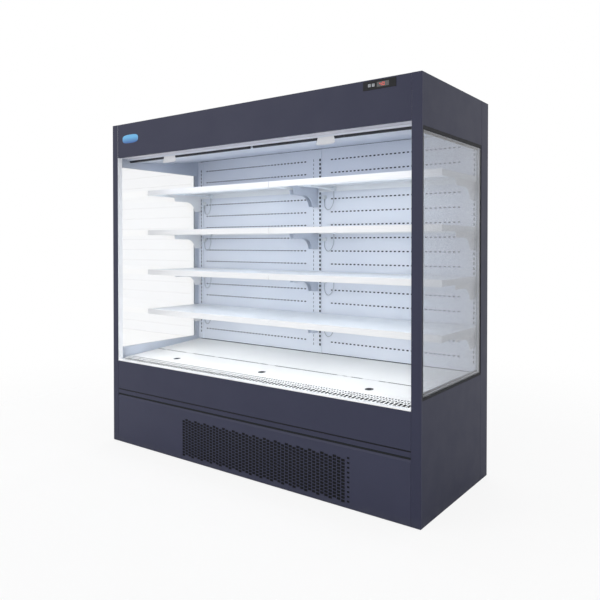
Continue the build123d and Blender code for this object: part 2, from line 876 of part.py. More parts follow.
def deck_rear_pans():
    """Rear deck pans; their front tabs bridge the seam behind the covers."""
    pans = []
    for x0, x1 in deck_thirds():
        y0, y1 = seam_along + seam_gap / 2, deck_rear_along
        pan = block(x0, x1, y0, y1, -pan_sheet, 0)
        for x in (x0, x1 - pan_sheet):
            pan += block(x, x + pan_sheet, y0 + 24, y1, -15, -pan_sheet)
        pan += block(x0, x1, y1 - pan_sheet, y1, -15, -pan_sheet)
        spacing = (x1 - x0) / tabs_per_pan
        for tab in range(tabs_per_pan):
            x = x0 + (tab + 0.5) * spacing
            pan += block(x - tab_wide / 2, x + tab_wide / 2, y0 - seam_gap + 2 * fit, y0, -pan_sheet, 0)
        pans.append(on_deck(pan))
    return group(pans)


def return_grille():
    """Air-return grille along the front edge, with the ledge that the covers rest on."""
    reach = inner - deck_side_gap
    slots = int(2 * reach / grille_pitch)
    big = [((number - (slots - 1) / 2) * grille_pitch, -grille_along + 30) for number in range(slots)]
    fine = int((2 * reach - 20) / fine_pitch)
    fine_x = [(number - (fine - 1) / 2) * fine_pitch for number in range(fine)]
    small = [(x, -along) for x in fine_x for along in fine_rows]
    holes = [window(*place, *grille_slot) for place in big]
    holes += [window(*place, *fine_slot) for place in small]
    sheet = plate(Plane.XY.offset(-2), -reach, reach, -grille_along, -1, 2, holes)
    ledge = -cover_flange - cover_sheet - fit
    sheet += block(-reach, reach, -3, -1, ledge - 2, -2)
    sheet += block(-reach, reach, -3, 12, ledge - 2, ledge)
    grille = on_deck(sheet)
    for x0, x1 in ((-inner, -between_posts + fit), (between_posts - fit, inner)):
        grille -= block(x0, x1, front, front + post_leg + fit, tub_top, height)
    y = deck_front_y
    for share in grille_leg_x:
        for x in (-share * inner, share * inner):
            grille += block(x - 20, x + 20, y - 3, y, tub_floor, deck_height(y, 3))
    y0 = front + tub_wall + 12
    return grille + block(-reach, reach, y0, y0 + 2, tub_top, deck_height(y0 + 1, 1))


def deck_front_rail():
    """White nosing along the front edge of the deck, seated on the tub's front wall."""
    y0, y1 = front, front + lip_rail_deep
    rear = tub_face
    high = lip_rail_high
    points = [(y0, lip_rail_low), (y0, high - 4), (y0 + 1.5, high - 1.2), (y0 + 5, high),
              (y1, high), (y1, tub_top), (rear, tub_top), (rear, lip_rail_low)]
    return along_x(points, -between_posts, between_posts)


# ---- Tub and fronts ----
def drain_place():
    return (0.0, 120.0)


def pipe_places():
    """Where the liquid and suction lines pass the tub floor."""
    return [(pipe_inset - inner, evap_front + tube_y) for tube_y in (coil_tubes_y[1] - 10, coil_tubes_y[2])]


def sleeve(x0, x1, y0, y1, z0, z1):
    """A square duct through a foamed panel: the solid to add and the way to cut through it."""
    wall = sleeve_wall
    outside = block(x0 - wall, x1 + wall, y0 - wall, y1 + wall, z0, z1)
    return outside, block(x0, x1, y0, y1, z0 - 5, z1 + 5)


def insulated_tub():
    """Insulated tub under the deck, with its drain and pipe duct."""
    floor = hollow(-inner, inner, tub_face, wall_front, tub_low, tub_floor, skin)
    wall = hollow(-inner, inner, tub_face, tub_face + tub_wall, tub_floor, tub_top, skin)
    cut = block(-inner - 1, -between_posts, front, front + post_leg, 0, height)
    tub = floor + wall
    tub -= cut + mirror(cut, about=Plane.YZ)
    (liquid_x, liquid_y), (_, suction_y) = pipe_places()
    reach = pipe_radius + hole_clearance
    x0, x1, y0, y1 = liquid_x - reach, liquid_x + reach, liquid_y - reach, suction_y + reach
    pipe_duct = sleeve(x0, x1, y0, y1, tub_low, tub_floor)
    x, y = drain_place()
    a = drain_half
    drain = sleeve(x - a, x + a, y - a, y + a, tub_low - drain_drop, tub_floor)
    for solid, way in (pipe_duct, drain):
        tub += solid
        tub -= way
    return tub


def front_panel():
    """Folded front panel between the posts; a shadow groove parts its trim strip from it."""
    y0, y1 = front + front_setback, tub_face
    groove, low, high = y0 + front_groove, front_low, lip_rail_low - 1
    reach, inside = between_posts, between_posts - skin
    panel = block(-reach, reach, y0, y1, trim_low, high)
    panel -= block(-inside, inside, y0 + skin, y1 + 1, low + skin, high - skin)
    panel -= block(-inside, inside, y0 + skin, y1 + 1, trim_low + skin, trim_high - skin)
    panel -= block(-inside, inside, groove + skin, y1 + 1, trim_high - 2 * skin, low + 2 * skin)
    return panel - block(-reach - 1, reach + 1, y0 - 1, groove, trim_high, low)


def louvre_slots():
    """Centres of the staggered slots of the kick panel's air grille."""
    wide, tall = louvre_right - louvre_left, louvre_high - louvre_low
    columns = int(wide / louvre_pitch_x)
    rows = int(tall / louvre_pitch_z)
    x0 = louvre_left + (wide - (columns - 1) * louvre_pitch_x) / 2
    z0 = louvre_low + louvre_pitch_z / 4 + louvre_tall / 2
    places = []
    for column in range(columns):
        lift = louvre_pitch_z / 2 if column % 2 else 0
        places += [(x0 + column * louvre_pitch_x, z0 + row * louvre_pitch_z + lift) for row in range(rows)]
    return places


def kick_grille():
    """Kick panel with its field of slots, a column of vents and four clips to the base."""
    y0 = front + front_setback
    x0, x1 = -between_posts, between_posts
    holes = [window(x, z, louvre_long, louvre_tall) for x, z in louvre_slots()]
    vents = sorted({z for x, z in louvre_slots()})[::2]
    holes += [window(vent_x, z, vent_size, louvre_tall) for z in vents]
    panel = plate(facing_front(y0 + kick_sheet), x0, x1, floor_gap, kick_high, kick_sheet, holes)
    for z, back_edge in ((floor_gap, y0 + 14), (kick_high - kick_sheet, tub_face - fit)):
        panel += block(x0, x1, y0 + kick_sheet, back_edge, z, z + kick_sheet)
    for share in clip_places:
        x = share * inner
        a = clip_wide / 2
        panel += block(x - a, x + a, y0 + kick_sheet, tray_front, clip_low, clip_low + clip_thick)
    return panel


def machine_rear_cover():
    """Rear service cover of the machine compartment, with air slots and a gland hole."""
    levels = [cover_slot_low + cover_slot_pitch * row for row in range(cover_slot_rows)]
    slots = [window(x, z, *cover_slot) for x in cover_slot_x for z in levels]
    gland = ring(-gland_x, gland_z, gland_radius + 2 * fit)
    face = Plane((0, tray_rear, 0), x_dir=(-1, 0, 0), z_dir=(0, 1, 0))
    holes = [*slots, gland]
    cover = plate(face, -inner, inner, tray_low + 1, tub_low - 1, rear_cover_sheet, holes)
    return cover + block(-inner, inner, wall_front + 2, tray_rear, tub_low - 3, tub_low - 1)


# ---- Base ----
def base_frame():
    """Welded base tray with cross ribs, carried by the feet."""
    tray = block(-tray_reach, tray_reach, tray_front, tray_rear, tray_low, tray_high)
    wall = tray_wall
    ribs = [-tray_reach, *tray_rib_x, tray_reach]
    for x0, x1 in zip(ribs, ribs[1:]):
        tray -= block(x0 + wall, x1 - wall, tray_front + wall, tray_rear - wall, tray_inside, tray_high + 1)
    for x, y in foot_places():
        tray -= bore(x, y, tray_low - 1, (0, 0, 1), foot_stud + fit, tray_wall + 2, 8)
    return tray


def foot_places():
    """Centres of the six feet, three along the front and three along the rear."""
    reach = inner - foot_inset_x
    rows = (tray_front + foot_inset_y, tray_rear - foot_inset_y)
    return [(x, y) for x in (-reach, 0.0, reach) for y in rows]


def levelling_feet():
    """Pad with a hexagon collar under the tray, and the stud and nut above it, at six places."""
    feet = []
    for x, y in foot_places():
        foot = rod(x, y, 0, (0, 0, 1), foot_radius, foot_pad, foot_sides)
        foot += rod(x, y, tray_low - 1, (0, 0, 1), foot_stud, foot_stud_long, 6)
        foot += rod(x, y, foot_pad, (0, 0, 1), foot_nut, tray_low - foot_pad, 6)
        foot += rod(x, y, tray_inside, (0, 0, 1), foot_nut, foot_nut_high, 6)
        feet.append(foot)
    return group(feet)


# ---- Cooling unit ----
def comb(x0, x1, y0, y1, z0, z1, count):
    """A finned block: deep cuts between fins."""
    core = block(x0, x1, y0, y1, z0, z1)
    pitch = (x1 - x0) / count
    for number in range(count):
        x = x0 + number * pitch
        core -= block(x + fin_thick, x + pitch - fin_thick, y0 + fin_root, y1 + 1, z0 + fin_root, z1 + 1)
    return core


def tube(points, radius):
    """A faceted tube with mitred corners."""
    start, following = Vector(*points[0]), Vector(*points[1])
    section = Plane(start, z_dir=following - start) * RegularPolygon(radius, pipe_sides)
    return sweep(section, path=Polyline(*points), transition=Transition.RIGHT)


def return_bends(x, way, places, radius):
    """U-bends at the end of a coil; each joins two tube ends given as (y, z)."""
    bends = []
    for (ya, za), (yb, zb) in places:
        half_span = ((yb - ya) ** 2 + (zb - za) ** 2) ** 0.5 / 2
        points = []
        for step in range(5):
            turn = pi * step / 4
            share = (1 - cos(turn)) / 2
            points.append((x + way * half_span * sin(turn), ya + (yb - ya) * share, za + (zb - za) * share))
        points[0] = (x - way, ya, za)
        bends.append(tube(points, radius))
    return bends


def evaporator_coil():
    """Finned coil in the tub; its end plates reach up to carry the rear deck pans."""
    coil = comb(-evap_half, evap_half, evap_front, evap_rear, tub_floor, evap_top, fin_count)
    top0, top1 = deck_height(evap_front, pan_sheet), deck_height(evap_rear, pan_sheet)
    third = evap_half * 0.39
    for x in (-evap_half - 3, -third, third, evap_half):
        points = [(evap_front, tub_floor), (evap_front, top0), (evap_rear, top1), (evap_rear, tub_floor)]
        coil += along_x(points, x, x + 3)
    ya, yb, yc, yd = [evap_front + y for y in coil_tubes_y]
    rows = [tub_floor + z for z in coil_tubes_z]
    places = [((ya, z), (yb, z)) for z in rows] + [((yc, z), (yd, z)) for z in rows]
    for bend in return_bends(evap_half + 3, 1, places, coil_tube):
        coil += bend
    return coil


def spider_motor(x, face, z, gap, hole, length):
    """Fan motor behind a plate, on three arms bolted round the fan's hole; its shaft points forward."""
    motor = rod(x, face + gap, z, (0, 1, 0), motor_radius, length, round_sides)
    half_arm = motor_arm / 2
    root, tip = face + gap + length / 2 - half_arm, hole + 1.5 * motor_arm
    strut = block(motor_radius - motor_arm, tip, root, root + motor_arm, -half_arm, half_arm)
    strut += block(tip - motor_arm, tip, face - 0.5, root + motor_arm, -half_arm, half_arm)
    for arm in range(3):
        motor += Location((x, 0, z), (0, 90 + 120 * arm, 0)) * strut
    return motor + rod(x, face + gap + 1, z, (0, -1, 0), fan_shaft, motor_shaft, round_sides)


def evaporator_fan_plate():
    """Cross plate of the tub with two fan holes, motors on arms and the deck's middle support."""
    y1 = fan_plate_rear()
    y0 = y1 - 2
    reach = inner - deck_side_gap
    holes = [ring(x, evap_fan_z, evap_fan_hole) for x in (-evap_fan_x, evap_fan_x)]
    top = deck_height(y0, pan_sheet + 1)
    sheet = plate(facing_front(y1), -reach, reach, tub_floor, top, 2, holes)
    sheet += on_deck(block(-reach, reach, seam_along - 12, seam_along + 20, -pan_sheet - 2, -pan_sheet))
    for x in (-evap_fan_x, evap_fan_x):
        sheet += spider_motor(x, y1, evap_fan_z, evap_motor_gap, evap_fan_hole, evap_motor_long)
    return sheet


def fan_plate_rear():
    return deck_front_y + seam_along * cos(radians(deck_slope)) + 2


def fan(x, y, z, radius, hub, wide):
    """Axial fan about Y: a hub with pitched, tapered blades, bored for its shaft; y is the hub's front."""
    wheel = rod(x, y, z, (0, 1, 0), hub, wide, round_sides)
    root, tip = 0.28 * radius, 0.38 * radius
    reach = (radius ** 2 - tip ** 2) ** 0.5
    outline = Polyline((hub - 3, -root), (reach, -tip), (reach, tip), (hub - 3, root), close=True)
    blade = extrude(Plane.XY.offset(-blade_half) * make_face(outline), amount=2 * blade_half)
    for number in range(blade_count):
        turn = 360 * number / blade_count
        wheel += Location((x, y + wide / 2, z), (0, turn, 0)) * Rot(blade_pitch, 0, 0) * blade
    return wheel - bore(x, y - 1, z, (0, 1, 0), fan_shaft + pin_clearance, wide + 2)


def evaporator_fan(side):
    return fan(side * evap_fan_x, fan_plate_rear() - wheel_lead, evap_fan_z, evap_fan_radius, *evap_fan_wheel)


def condenser_coil():
    """Finned condenser behind the kick panel's grille."""
    x0, x1 = condenser_x - condenser_half, condenser_x + condenser_half
    coil = comb(x0, x1, condenser_front, condenser_rear, condenser_low, condenser_high, fin_count)
    for x in (x0 + coil_foot, x1 - 2 * coil_foot):
        coil += block(x, x + coil_foot, condenser_front + 16, condenser_rear, tray_inside, condenser_low)
    span = condenser_bend_pitch / 2
    first = condenser_low + coil_tubes_z[0]
    rows = [(first + 2 * span * row, first + 2 * span * row + span) for row in range(4)]
    y = condenser_front + 22
    places = [((y, low), (y, high)) for low, high in rows]
    for bend in return_bends(x1, 1, places, coil_tube):
        coil += bend
    return coil


def condenser_fan_centre():
    return (condenser_x, (condenser_low + condenser_high) / 2)


def condenser_fan_shroud():
    """Sheet shroud behind the condenser, with the fan's ring and its motor on arms."""
    x, z = condenser_fan_centre()
    x0, x1 = x - condenser_half, x + condenser_half
    y0, y1 = condenser_rear, condenser_rear + shroud_deep
    shroud = block(x0, x1, y0, y1, condenser_low, condenser_high)
    shroud -= block(x0 + 2, x1 - 2, y0 - 1, y1 - 2, condenser_low + 2, condenser_high - 2)
    shroud -= bore(x, y1 - 3, z, (0, 1, 0), condenser_fan_hole, 5, hole_sides)
    return shroud + spider_motor(x, y1, z, condenser_motor_gap, condenser_fan_hole, condenser_motor_long)


def condenser_fan_blade():
    x, z = condenser_fan_centre()
    return fan(x, condenser_rear + shroud_deep - wheel_lead, z, condenser_fan_radius, *condenser_fan_wheel)


def discharge_port():
    """End of the compressor's discharge stub."""
    return (comp_x - 20, comp_y, comp_low + comp_high + 10)


def suction_port():
    """End of the compressor's suction stub."""
    return (comp_x - 50, comp_y + comp_radius + 12, comp_low + comp_high * 0.68)


def compressor():
    """Hermetic compressor: domed shell on a foot plate with rubber grommets and a terminal box."""
    radii = [(0.8, 0.0), (1.0, 0.15), (1.0, 0.7), (0.85, 0.9), (0.45, 1.0)]
    sections = [Plane((comp_x, comp_y, comp_low + up * comp_high)) * RegularPolygon(comp_radius * share, 16)
                for share, up in radii]
    shell = loft(sections, ruled=True)
    wide, deep = comp_plate
    x0, x1, y0, y1 = comp_x - wide / 2, comp_x + wide / 2, comp_y - deep / 2, comp_y + deep / 2
    shell += block(x0, x1, y0, y1, comp_low, comp_low + 4)
    for x in (x0 + 15, x1 - 15):
        for y in (y0 + 15, y1 - 15):
            shell += rod(x, y, tray_inside, (0, 0, 1), grommet_radius, grommet_high, 8)
    x, y, z = discharge_port()
    shell += rod(x, y, z, (0, 0, -1), pipe_radius, 30, pipe_sides)
    x, y, z = suction_port()
    shell += rod(x, y, z, (0, -1, 0), pipe_radius, 70, pipe_sides)
    a, y = terminal_box / 2, comp_y + comp_radius
    z0 = comp_low + comp_high / 2 - terminal_box / 2
    return shell + block(comp_x - a, comp_x + a, y - 12, y + 26, z0, z0 + terminal_box)


def pipe(points, bend=24.0):
    """A copper pipe along straight runs; each corner turns in two steps."""
    corners = [Vector(*point) for point in points]
    route = [corners[0]]
    for before, corner, after in zip(corners, corners[1:], corners[2:]):
        for other in (before, after):
            run = other - corner
            route.append(corner + run.normalized() * min(bend, run.length * 0.45))
    route.append(corners[-1])
    return tube([tuple(point) for point in route], pipe_radius)


def refrigerant_pipes():
    """Discharge, liquid and suction lines, and the liquid receiver."""
    edge = condenser_x + condenser_half
    coil_y = condenser_rear - 2 * pipe_radius
    x, y, z = discharge_port()
    inlet = condenser_high - 60
    out, over = edge + pipe_clear, z + pipe_rise
    discharge = pipe([(x, y, z), (x, y, over), (out, y, over), (out, coil_y, over),
                      (out, coil_y, inlet), (edge, coil_y, inlet)])
    (liquid_x, liquid_y), (suction_x, suction_y) = pipe_places()
    x, y = receiver_place
    radius, tall = receiver_size
    receiver = rod(x, y, tray_inside, (0, 0, 1), radius, tall, round_sides)
    outlet = condenser_low + 50
    far = condenser_x - condenser_half
    feed = pipe([(far, coil_y, outlet), (x + 10, coil_y, outlet), (x + 10, y - radius + 2, outlet)])
    high = tub_floor + 45
    coil_end = -evap_half - 3
    over = tray_inside + tall + 40
    top = tray_inside + tall - 1
    liquid = pipe([(x, y, top), (x, y, over), (liquid_x, y, over), (liquid_x, liquid_y, over),
                   (liquid_x, liquid_y, high), (coil_end, liquid_y, high)])
    x, y, z = suction_port()
    suction = pipe([(coil_end, suction_y, high), (suction_x, suction_y, high), (suction_x, suction_y, z),
                    (x, suction_y, z), (x, y, z)])
    return group([discharge, receiver + feed + liquid, suction])


def electrical_box():
    """Terminal box with a lid and the mains gland that passes the rear cover."""
    wide, deep, tall = box_size
    x0, x1 = gland_x - wide / 2, gland_x + wide / 2
    y1 = tray_rear - tray_wall
    y0, lid = y1 - deep, tray_inside + tall
    box = hollow(x0, x1, y0, y1, tray_inside, lid, box_wall)
    box += block(x0 - box_lid_over, x1 + box_lid_over, y0 - box_lid_over, y1, lid, lid + box_lid_high)
    outside = tray_rear + rear_cover_sheet
    gland = rod(gland_x, y1 - 1, gland_z, (0, 1, 0), gland_radius, outside + gland_long - y1 + 1, round_sides)
    gland += rod(gland_x, outside, gland_z, (0, 1, 0), gland_radius + 5, gland_nut, 6)
    gland -= rod(gland_x, y1 + 2 * box_wall, gland_z, (0, 1, 0), gland_radius / 2, 2 * gland_long, 8)
    return box + gland


# ---- Controller ----
def controller_bezel():
    """Moulded bezel with a display window and two key holes, open at the back."""
    y1 = front + bezel_face
    hole = key_size + 2 * key_gap
    holes = [window(x, control_middle, hole, hole) for x in key_places]
    holes.append(window(display_middle(), control_middle, *display_size))
    bezel = plate(facing_front(y1), control_left, control_right, control_low, control_high, bezel_face, holes)
    x0, x1 = control_left + bezel_wall, control_right - bezel_wall
    z0, z1 = control_low + bezel_wall, control_high - bezel_wall
    body = block(x0, x1, y1, y1 + bezel_deep, z0, z1)
    wall = bezel_wall
    body -= block(x0 + wall, x1 - wall, y1 - 1, y1 + bezel_deep + 1, z0 + wall, z1 - wall)
    return bezel + body


def controller_display():
    """Smoked lens of the display, seated in its window, on the display board."""
    x, z = display_middle(), control_middle
    y0, y1, y2 = front + display_setback, front + bezel_face, front + display_deep
    a, b = display_size[0] / 2, display_size[1] / 2
    lens = block(x - a, x + a, y0, y2, z - b, z + b)
    a, b = a + display_rim, b + display_rim
    return lens + block(x - a, x + a, y1, y2, z - b, z + b)


def display_middle():
    return control_left + display_inset + display_size[0] / 2


def controller_key(number):
    """One key: its cap in the bezel's hole and the flange that keeps it there."""
    x, z = key_places[number], control_middle
    a, b = key_size / 2, key_size / 2 + key_rim
    cap = block(x - a, x + a, front + key_setback, front + display_deep, z - a, z + a)
    y = front + bezel_face + fit
    return cap + block(x - b, x + b, y, y + key_rim, z - b, z + b)


# ---- Write the sub-parts ----
def sub_parts():
    parts = {
        "base_frame": base_frame(),
        "levelling_feet": levelling_feet(),
        "right_end_frame": end_frame(),
        "left_end_frame": mirror(end_frame(), about=Plane.YZ),
        "right_front_post": front_post(),
        "left_front_post": mirror(front_post(), about=Plane.YZ),
        "right_side_glass": side_glass(),
        "left_side_glass": mirror(side_glass(), about=Plane.YZ),
        "glass_seals": glass_seals(),
        "rear_wall": rear_wall(),
        "shelf_uprights": shelf_uprights(),
        "rear_panel_left": rear_panel(-1),
        "rear_panel_right": rear_panel(1),
        "shelf_brackets": shelf_brackets(),
        "price_rails": price_rails(),
        "shelf_lamps": shelf_lamps(),
        "shelf_light_leads": shelf_light_leads(),
        "header_fascia": header_fascia(),
        "canopy_top": canopy_top(),
        "lamp_carrier": lamp_carrier(),
        "canopy_light": canopy_light(),
        "canopy_rear_ceiling": canopy_rear_ceiling(),
        "deck_rear_pans": deck_rear_pans(),
        "return_grille": return_grille(),
        "deck_front_rail": deck_front_rail(),
        "insulated_tub": insulated_tub(),
        "front_panel": front_panel(),
        "kick_grille": kick_grille(),
        "machine_rear_cover": machine_rear_cover(),
        "compressor": compressor(),
        "condenser_coil": condenser_coil(),
        "condenser_fan_shroud": condenser_fan_shroud(),
        "condenser_fan_blade": condenser_fan_blade(),
        "evaporator_coil": evaporator_coil(),
        "evaporator_fan_plate": evaporator_fan_plate(),
        "refrigerant_pipes": refrigerant_pipes(),
        "electrical_box": electrical_box(),
        "controller_bezel": controller_bezel(),
        "controller_display": controller_display(),
        "controller_key_up": controller_key(0),
        "controller_key_down": controller_key(1),
    }
    for name, side in (("left", -1), ("right", 1)):
        for row, top in enumerate(shelf_tops):
            parts[f"shelf_{shelf_rows - row}_{name}"] = shelf(side, top)
        parts[f"blind_roller_{name}"] = blind_roller(side)
        parts[f"blind_bar_{name}"] = blind_bar(side)
        parts[f"blind_cloth_{name}"] = blind_cloth(side)
        parts[f"evaporator_fan_{name}"] = evaporator_fan(side)
    for number, name in enumerate(("left", "middle", "right")):
        parts[f"deck_cover_{name}"] = deck_cover(number)
    return parts


os.makedirs("parts", exist_ok=True)
for name, shape in sub_parts().items():
    export_step(shape, f"parts/{name}.step")
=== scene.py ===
import math

import bmesh
import bpy
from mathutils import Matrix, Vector


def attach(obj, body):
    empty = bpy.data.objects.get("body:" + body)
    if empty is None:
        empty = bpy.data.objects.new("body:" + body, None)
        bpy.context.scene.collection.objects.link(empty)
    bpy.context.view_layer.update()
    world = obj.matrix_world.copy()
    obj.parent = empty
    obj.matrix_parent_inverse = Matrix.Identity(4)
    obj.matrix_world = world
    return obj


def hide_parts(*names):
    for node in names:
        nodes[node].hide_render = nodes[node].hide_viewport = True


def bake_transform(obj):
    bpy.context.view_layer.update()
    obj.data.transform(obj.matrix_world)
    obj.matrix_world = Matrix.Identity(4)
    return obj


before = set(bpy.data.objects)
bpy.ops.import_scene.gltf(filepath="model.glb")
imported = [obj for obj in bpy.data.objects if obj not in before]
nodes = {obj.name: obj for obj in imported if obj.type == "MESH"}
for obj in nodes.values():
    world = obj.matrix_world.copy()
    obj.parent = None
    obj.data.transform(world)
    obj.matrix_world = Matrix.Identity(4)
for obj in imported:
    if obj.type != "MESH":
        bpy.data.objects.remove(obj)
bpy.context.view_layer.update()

mm = 0.001


# general tools

def srgb(code):
    # a hex colour as Blender's linear values
    parts = [int(code[i:i + 2], 16) / 255 for i in (1, 3, 5)]
    return (*[p / 12.92 if p <= 0.04045 else ((p + 0.055) / 1.055) ** 2.4 for p in parts], 1.0)


def addNode(owner, kind, inputs=None, output=0, **settings):
    # a node of a material or world; its inputs are values or other nodes' outputs, and one output comes back
    tree = owner.node_tree
    node = tree.nodes.new("ShaderNode" + kind)
    for name, value in settings.items():
        setattr(node, name, value)
    for name, value in (inputs or {}).items():
        if isinstance(value, bpy.types.NodeSocket):
            tree.links.new(value, node.inputs[name])
        else:
            node.inputs[name].default_value = value
    return node.outputs[output] if node.outputs else node


def newMaterial(name):
    material = bpy.data.materials.new(name)
    material.use_nodes = True
    material.node_tree.nodes.clear()
    return material


def finished(material, inputs):
    # inputs are the Principled shader's own sockets
    shader = addNode(material, "BsdfPrincipled", inputs)
    addNode(material, "OutputMaterial", {"Surface": shader})
    return material


def placeAlong(material, axis):
    # the object's own coordinate along X, Y or Z, which is the cabinet's, in metres
    place = addNode(material, "TexCoord", output="Object")
    return addNode(material, "SeparateXYZ", {"Vector": place}, axis)


def inBox(material, **spans):
    # 1 inside a box of the cabinet's coordinates and 0 outside; spans are X, Y and Z as (low, high)
    inside = 1.0
    for axis, (low, high) in spans.items():
        place = placeAlong(material, axis)
        middle, half = (low + high) / 2, (high - low) / 2
        between = addNode(material, "Math", {0: place, 1: middle, 2: half}, operation="COMPARE")
        inside = addNode(material, "Math", {0: inside, 1: between}, operation="MULTIPLY")
    return inside


def spots(material, size, detail=2, stretch=(1, 1, 1)):
    # noise whose blotches are about size metres across
    place = addNode(material, "TexCoord", output="Object")
    stretched = addNode(material, "Mapping", {"Vector": place, "Scale": stretch})
    return addNode(material, "TexNoise", {"Vector": stretched, "Scale": 1 / size, "Detail": detail}, "Fac")


def patches(material, size, detail=2, low=0.0, high=1.0, stretch=(1, 1, 1), ends=(0.3, 0.7)):
    # the same blotches as a value from low to high; ends are the noise values that give these
    return addNode(material, "MapRange", {
        "Value": spots(material, size, detail, stretch),
        "From Min": ends[0], "From Max": ends[1], "To Min": low, "To Max": high})


def stripes(material, pitch, axis, distortion=0.0):
    # even stripes across one axis of the object, pitch metres apart
    place = addNode(material, "TexCoord", output="Object")
    return addNode(material, "TexWave", {
        "Vector": place, "Scale": math.pi / (10 * pitch), "Distortion": distortion},
        "Fac", wave_type="BANDS", bands_direction=axis)


def layered(material, colour, *layers):
    # a colour with others over it; each is (where, hex colour) and shows where its value is 1
    # a Mix node's colours go in at 6 and 7 and come out at 2
    for where, code in layers:
        colour = addNode(material, "Mix", {0: where, 6: colour, 7: srgb(code)}, 2, data_type="RGBA")
    return colour


def mottled(material, first, second, size, detail=2, stretch=(1, 1, 1)):
    # a colour that wanders between two shades
    return layered(material, srgb(first), (patches(material, size, detail, stretch=stretch), second))


def grained(material, size, strength, distance=0.2 * mm, detail=2, stretch=(1, 1, 1)):
    # the surface's fine unevenness; size is that of its grain
    height = spots(material, size, detail, stretch)
    return addNode(material, "Bump", {"Strength": strength, "Distance": distance, "Height": height})


def pick(values, names):
    # several of a dictionary's values, in the order of their names
    return [values[name] for name in names.split()]


def dress(material, *names):
    for name in names:
        for slot in nodes[name].material_slots:
            slot.material = material


def newMesh(name, verts, faces, material, smooth=False):
    mesh = bpy.data.meshes.new(name)
    mesh.from_pydata([tuple(v) for v in verts], [], faces)
    mesh.materials.append(material)
    piece = bpy.data.objects.new(name, mesh)
    bpy.context.collection.objects.link(piece)
    work = bmesh.new()
    work.from_mesh(mesh)
    bmesh.ops.remove_doubles(work, verts=work.verts, dist=1e-6)
    bmesh.ops.recalc_face_normals(work, faces=work.faces)
    for face in work.faces:
        face.smooth = smooth
    work.to_mesh(mesh)
    work.free()
    return piece


def smoothByAngle(piece, degrees=35):
    # rounds show smooth and folds stay crisp
    for polygon in piece.data.polygons:
        polygon.use_smooth = True
    piece.data.set_sharp_from_angle(angle=math.radians(degrees))
    return piece


# camera: the photograph's own view, fitted to the cabinet's corners

cameraView = {
    "eye": (2.2357, -2.8655, 1.2375), "yaw": 36.527, "tiltDown": 0.784, "lens": 37.454, "shiftUp": -0.079,
}


def addCamera(view):
    data = bpy.data.cameras.new("camera")
    data.sensor_width = 36
    data.lens = view["lens"]
    data.shift_y = view["shiftUp"]
    data.clip_end = 60
    camera = bpy.data.objects.new("camera", data)
    camera.location = view["eye"]
    camera.rotation_euler = (math.radians(90 - view["tiltDown"]), 0, math.radians(view["yaw"]))
    bpy.context.collection.objects.link(camera)
    bpy.context.scene.camera = camera


addCamera(cameraView)
print("camera set")

# studio: white surround, pale floor, soft boxes

studio = {
    "surround": 0.72,  # what the surround gives to matt surfaces
    "paperWhites": ("#f2f3f4", "#f8f8f9"),
    "paperReach": 5.0,
    "paperFade": (1.6, 4.2),  # the paper fades into the white surround between these distances
    "floorWhite": 0.86,  # how far the camera sees the paper as plain white; its shadow stays soft
    "footprint": (1.058, 0.3985),  # half width and half depth of the shade under the cabinet
    "boxes": {  # name: (centre, target, width, height, watts, colour)
        "keyBox": ((-2.6, -4.6, 2.8), (0, 0, 1.0), 2.6, 2.6, 47, "#ffffff"),
        "sideBox": ((5.0, -1.4, 2.6), (0, 0, 1.0), 2.6, 2.6, 15, "#ffffff"),
        "backBox": ((-1.5, 5.0, 3.4), (0, 0, 1.0), 2.6, 2.6, 45, "#ffffff"),
        "lowBox": ((1.6, -5.4, 0.9), (0, 0, 0.8), 3.0, 1.2, 20, "#ffffff"),
        "canopyTube": ((0, -0.17, 1.752), (0, 0.12, 1.2), 1.9, 0.2, 1.95, "#e2eafb"),
    },
}


def buildSurround(values):
    world = bpy.data.worlds.new("surround")
    bpy.context.scene.world = world
    world.use_nodes = True
    world.node_tree.nodes.clear()
    seen = 0.0
    for ray in ("Is Camera Ray", "Is Glossy Ray", "Is Transmission Ray"):
        hit = addNode(world, "LightPath", output=ray)
        seen = addNode(world, "Math", {0: seen, 1: hit}, operation="MAXIMUM")
    strength = addNode(world, "MapRange", {"Value": seen, "To Min": values["surround"], "To Max": 1.0})
    light = addNode(world, "Background", {"Color": (1, 1, 1, 1), "Strength": strength})
    addNode(world, "OutputWorld", {"Surface": light})


def addBoxes(boxes):
    for name, (centre, target, wide, high, watts, colour) in boxes.items():
        data = bpy.data.lights.new(name, "AREA")
        data.shape = "RECTANGLE"
        data.size, data.size_y, data.energy = wide, high, watts
        data.color = srgb(colour)[:3]
        lamp = bpy.data.objects.new(name, data)
        lamp.location = centre
        aim = Vector(target) - Vector(centre)
        lamp.rotation_euler = aim.to_track_quat("-Z", "Y").to_euler()
        lamp.visible_camera = False
        bpy.context.collection.objects.link(lamp)


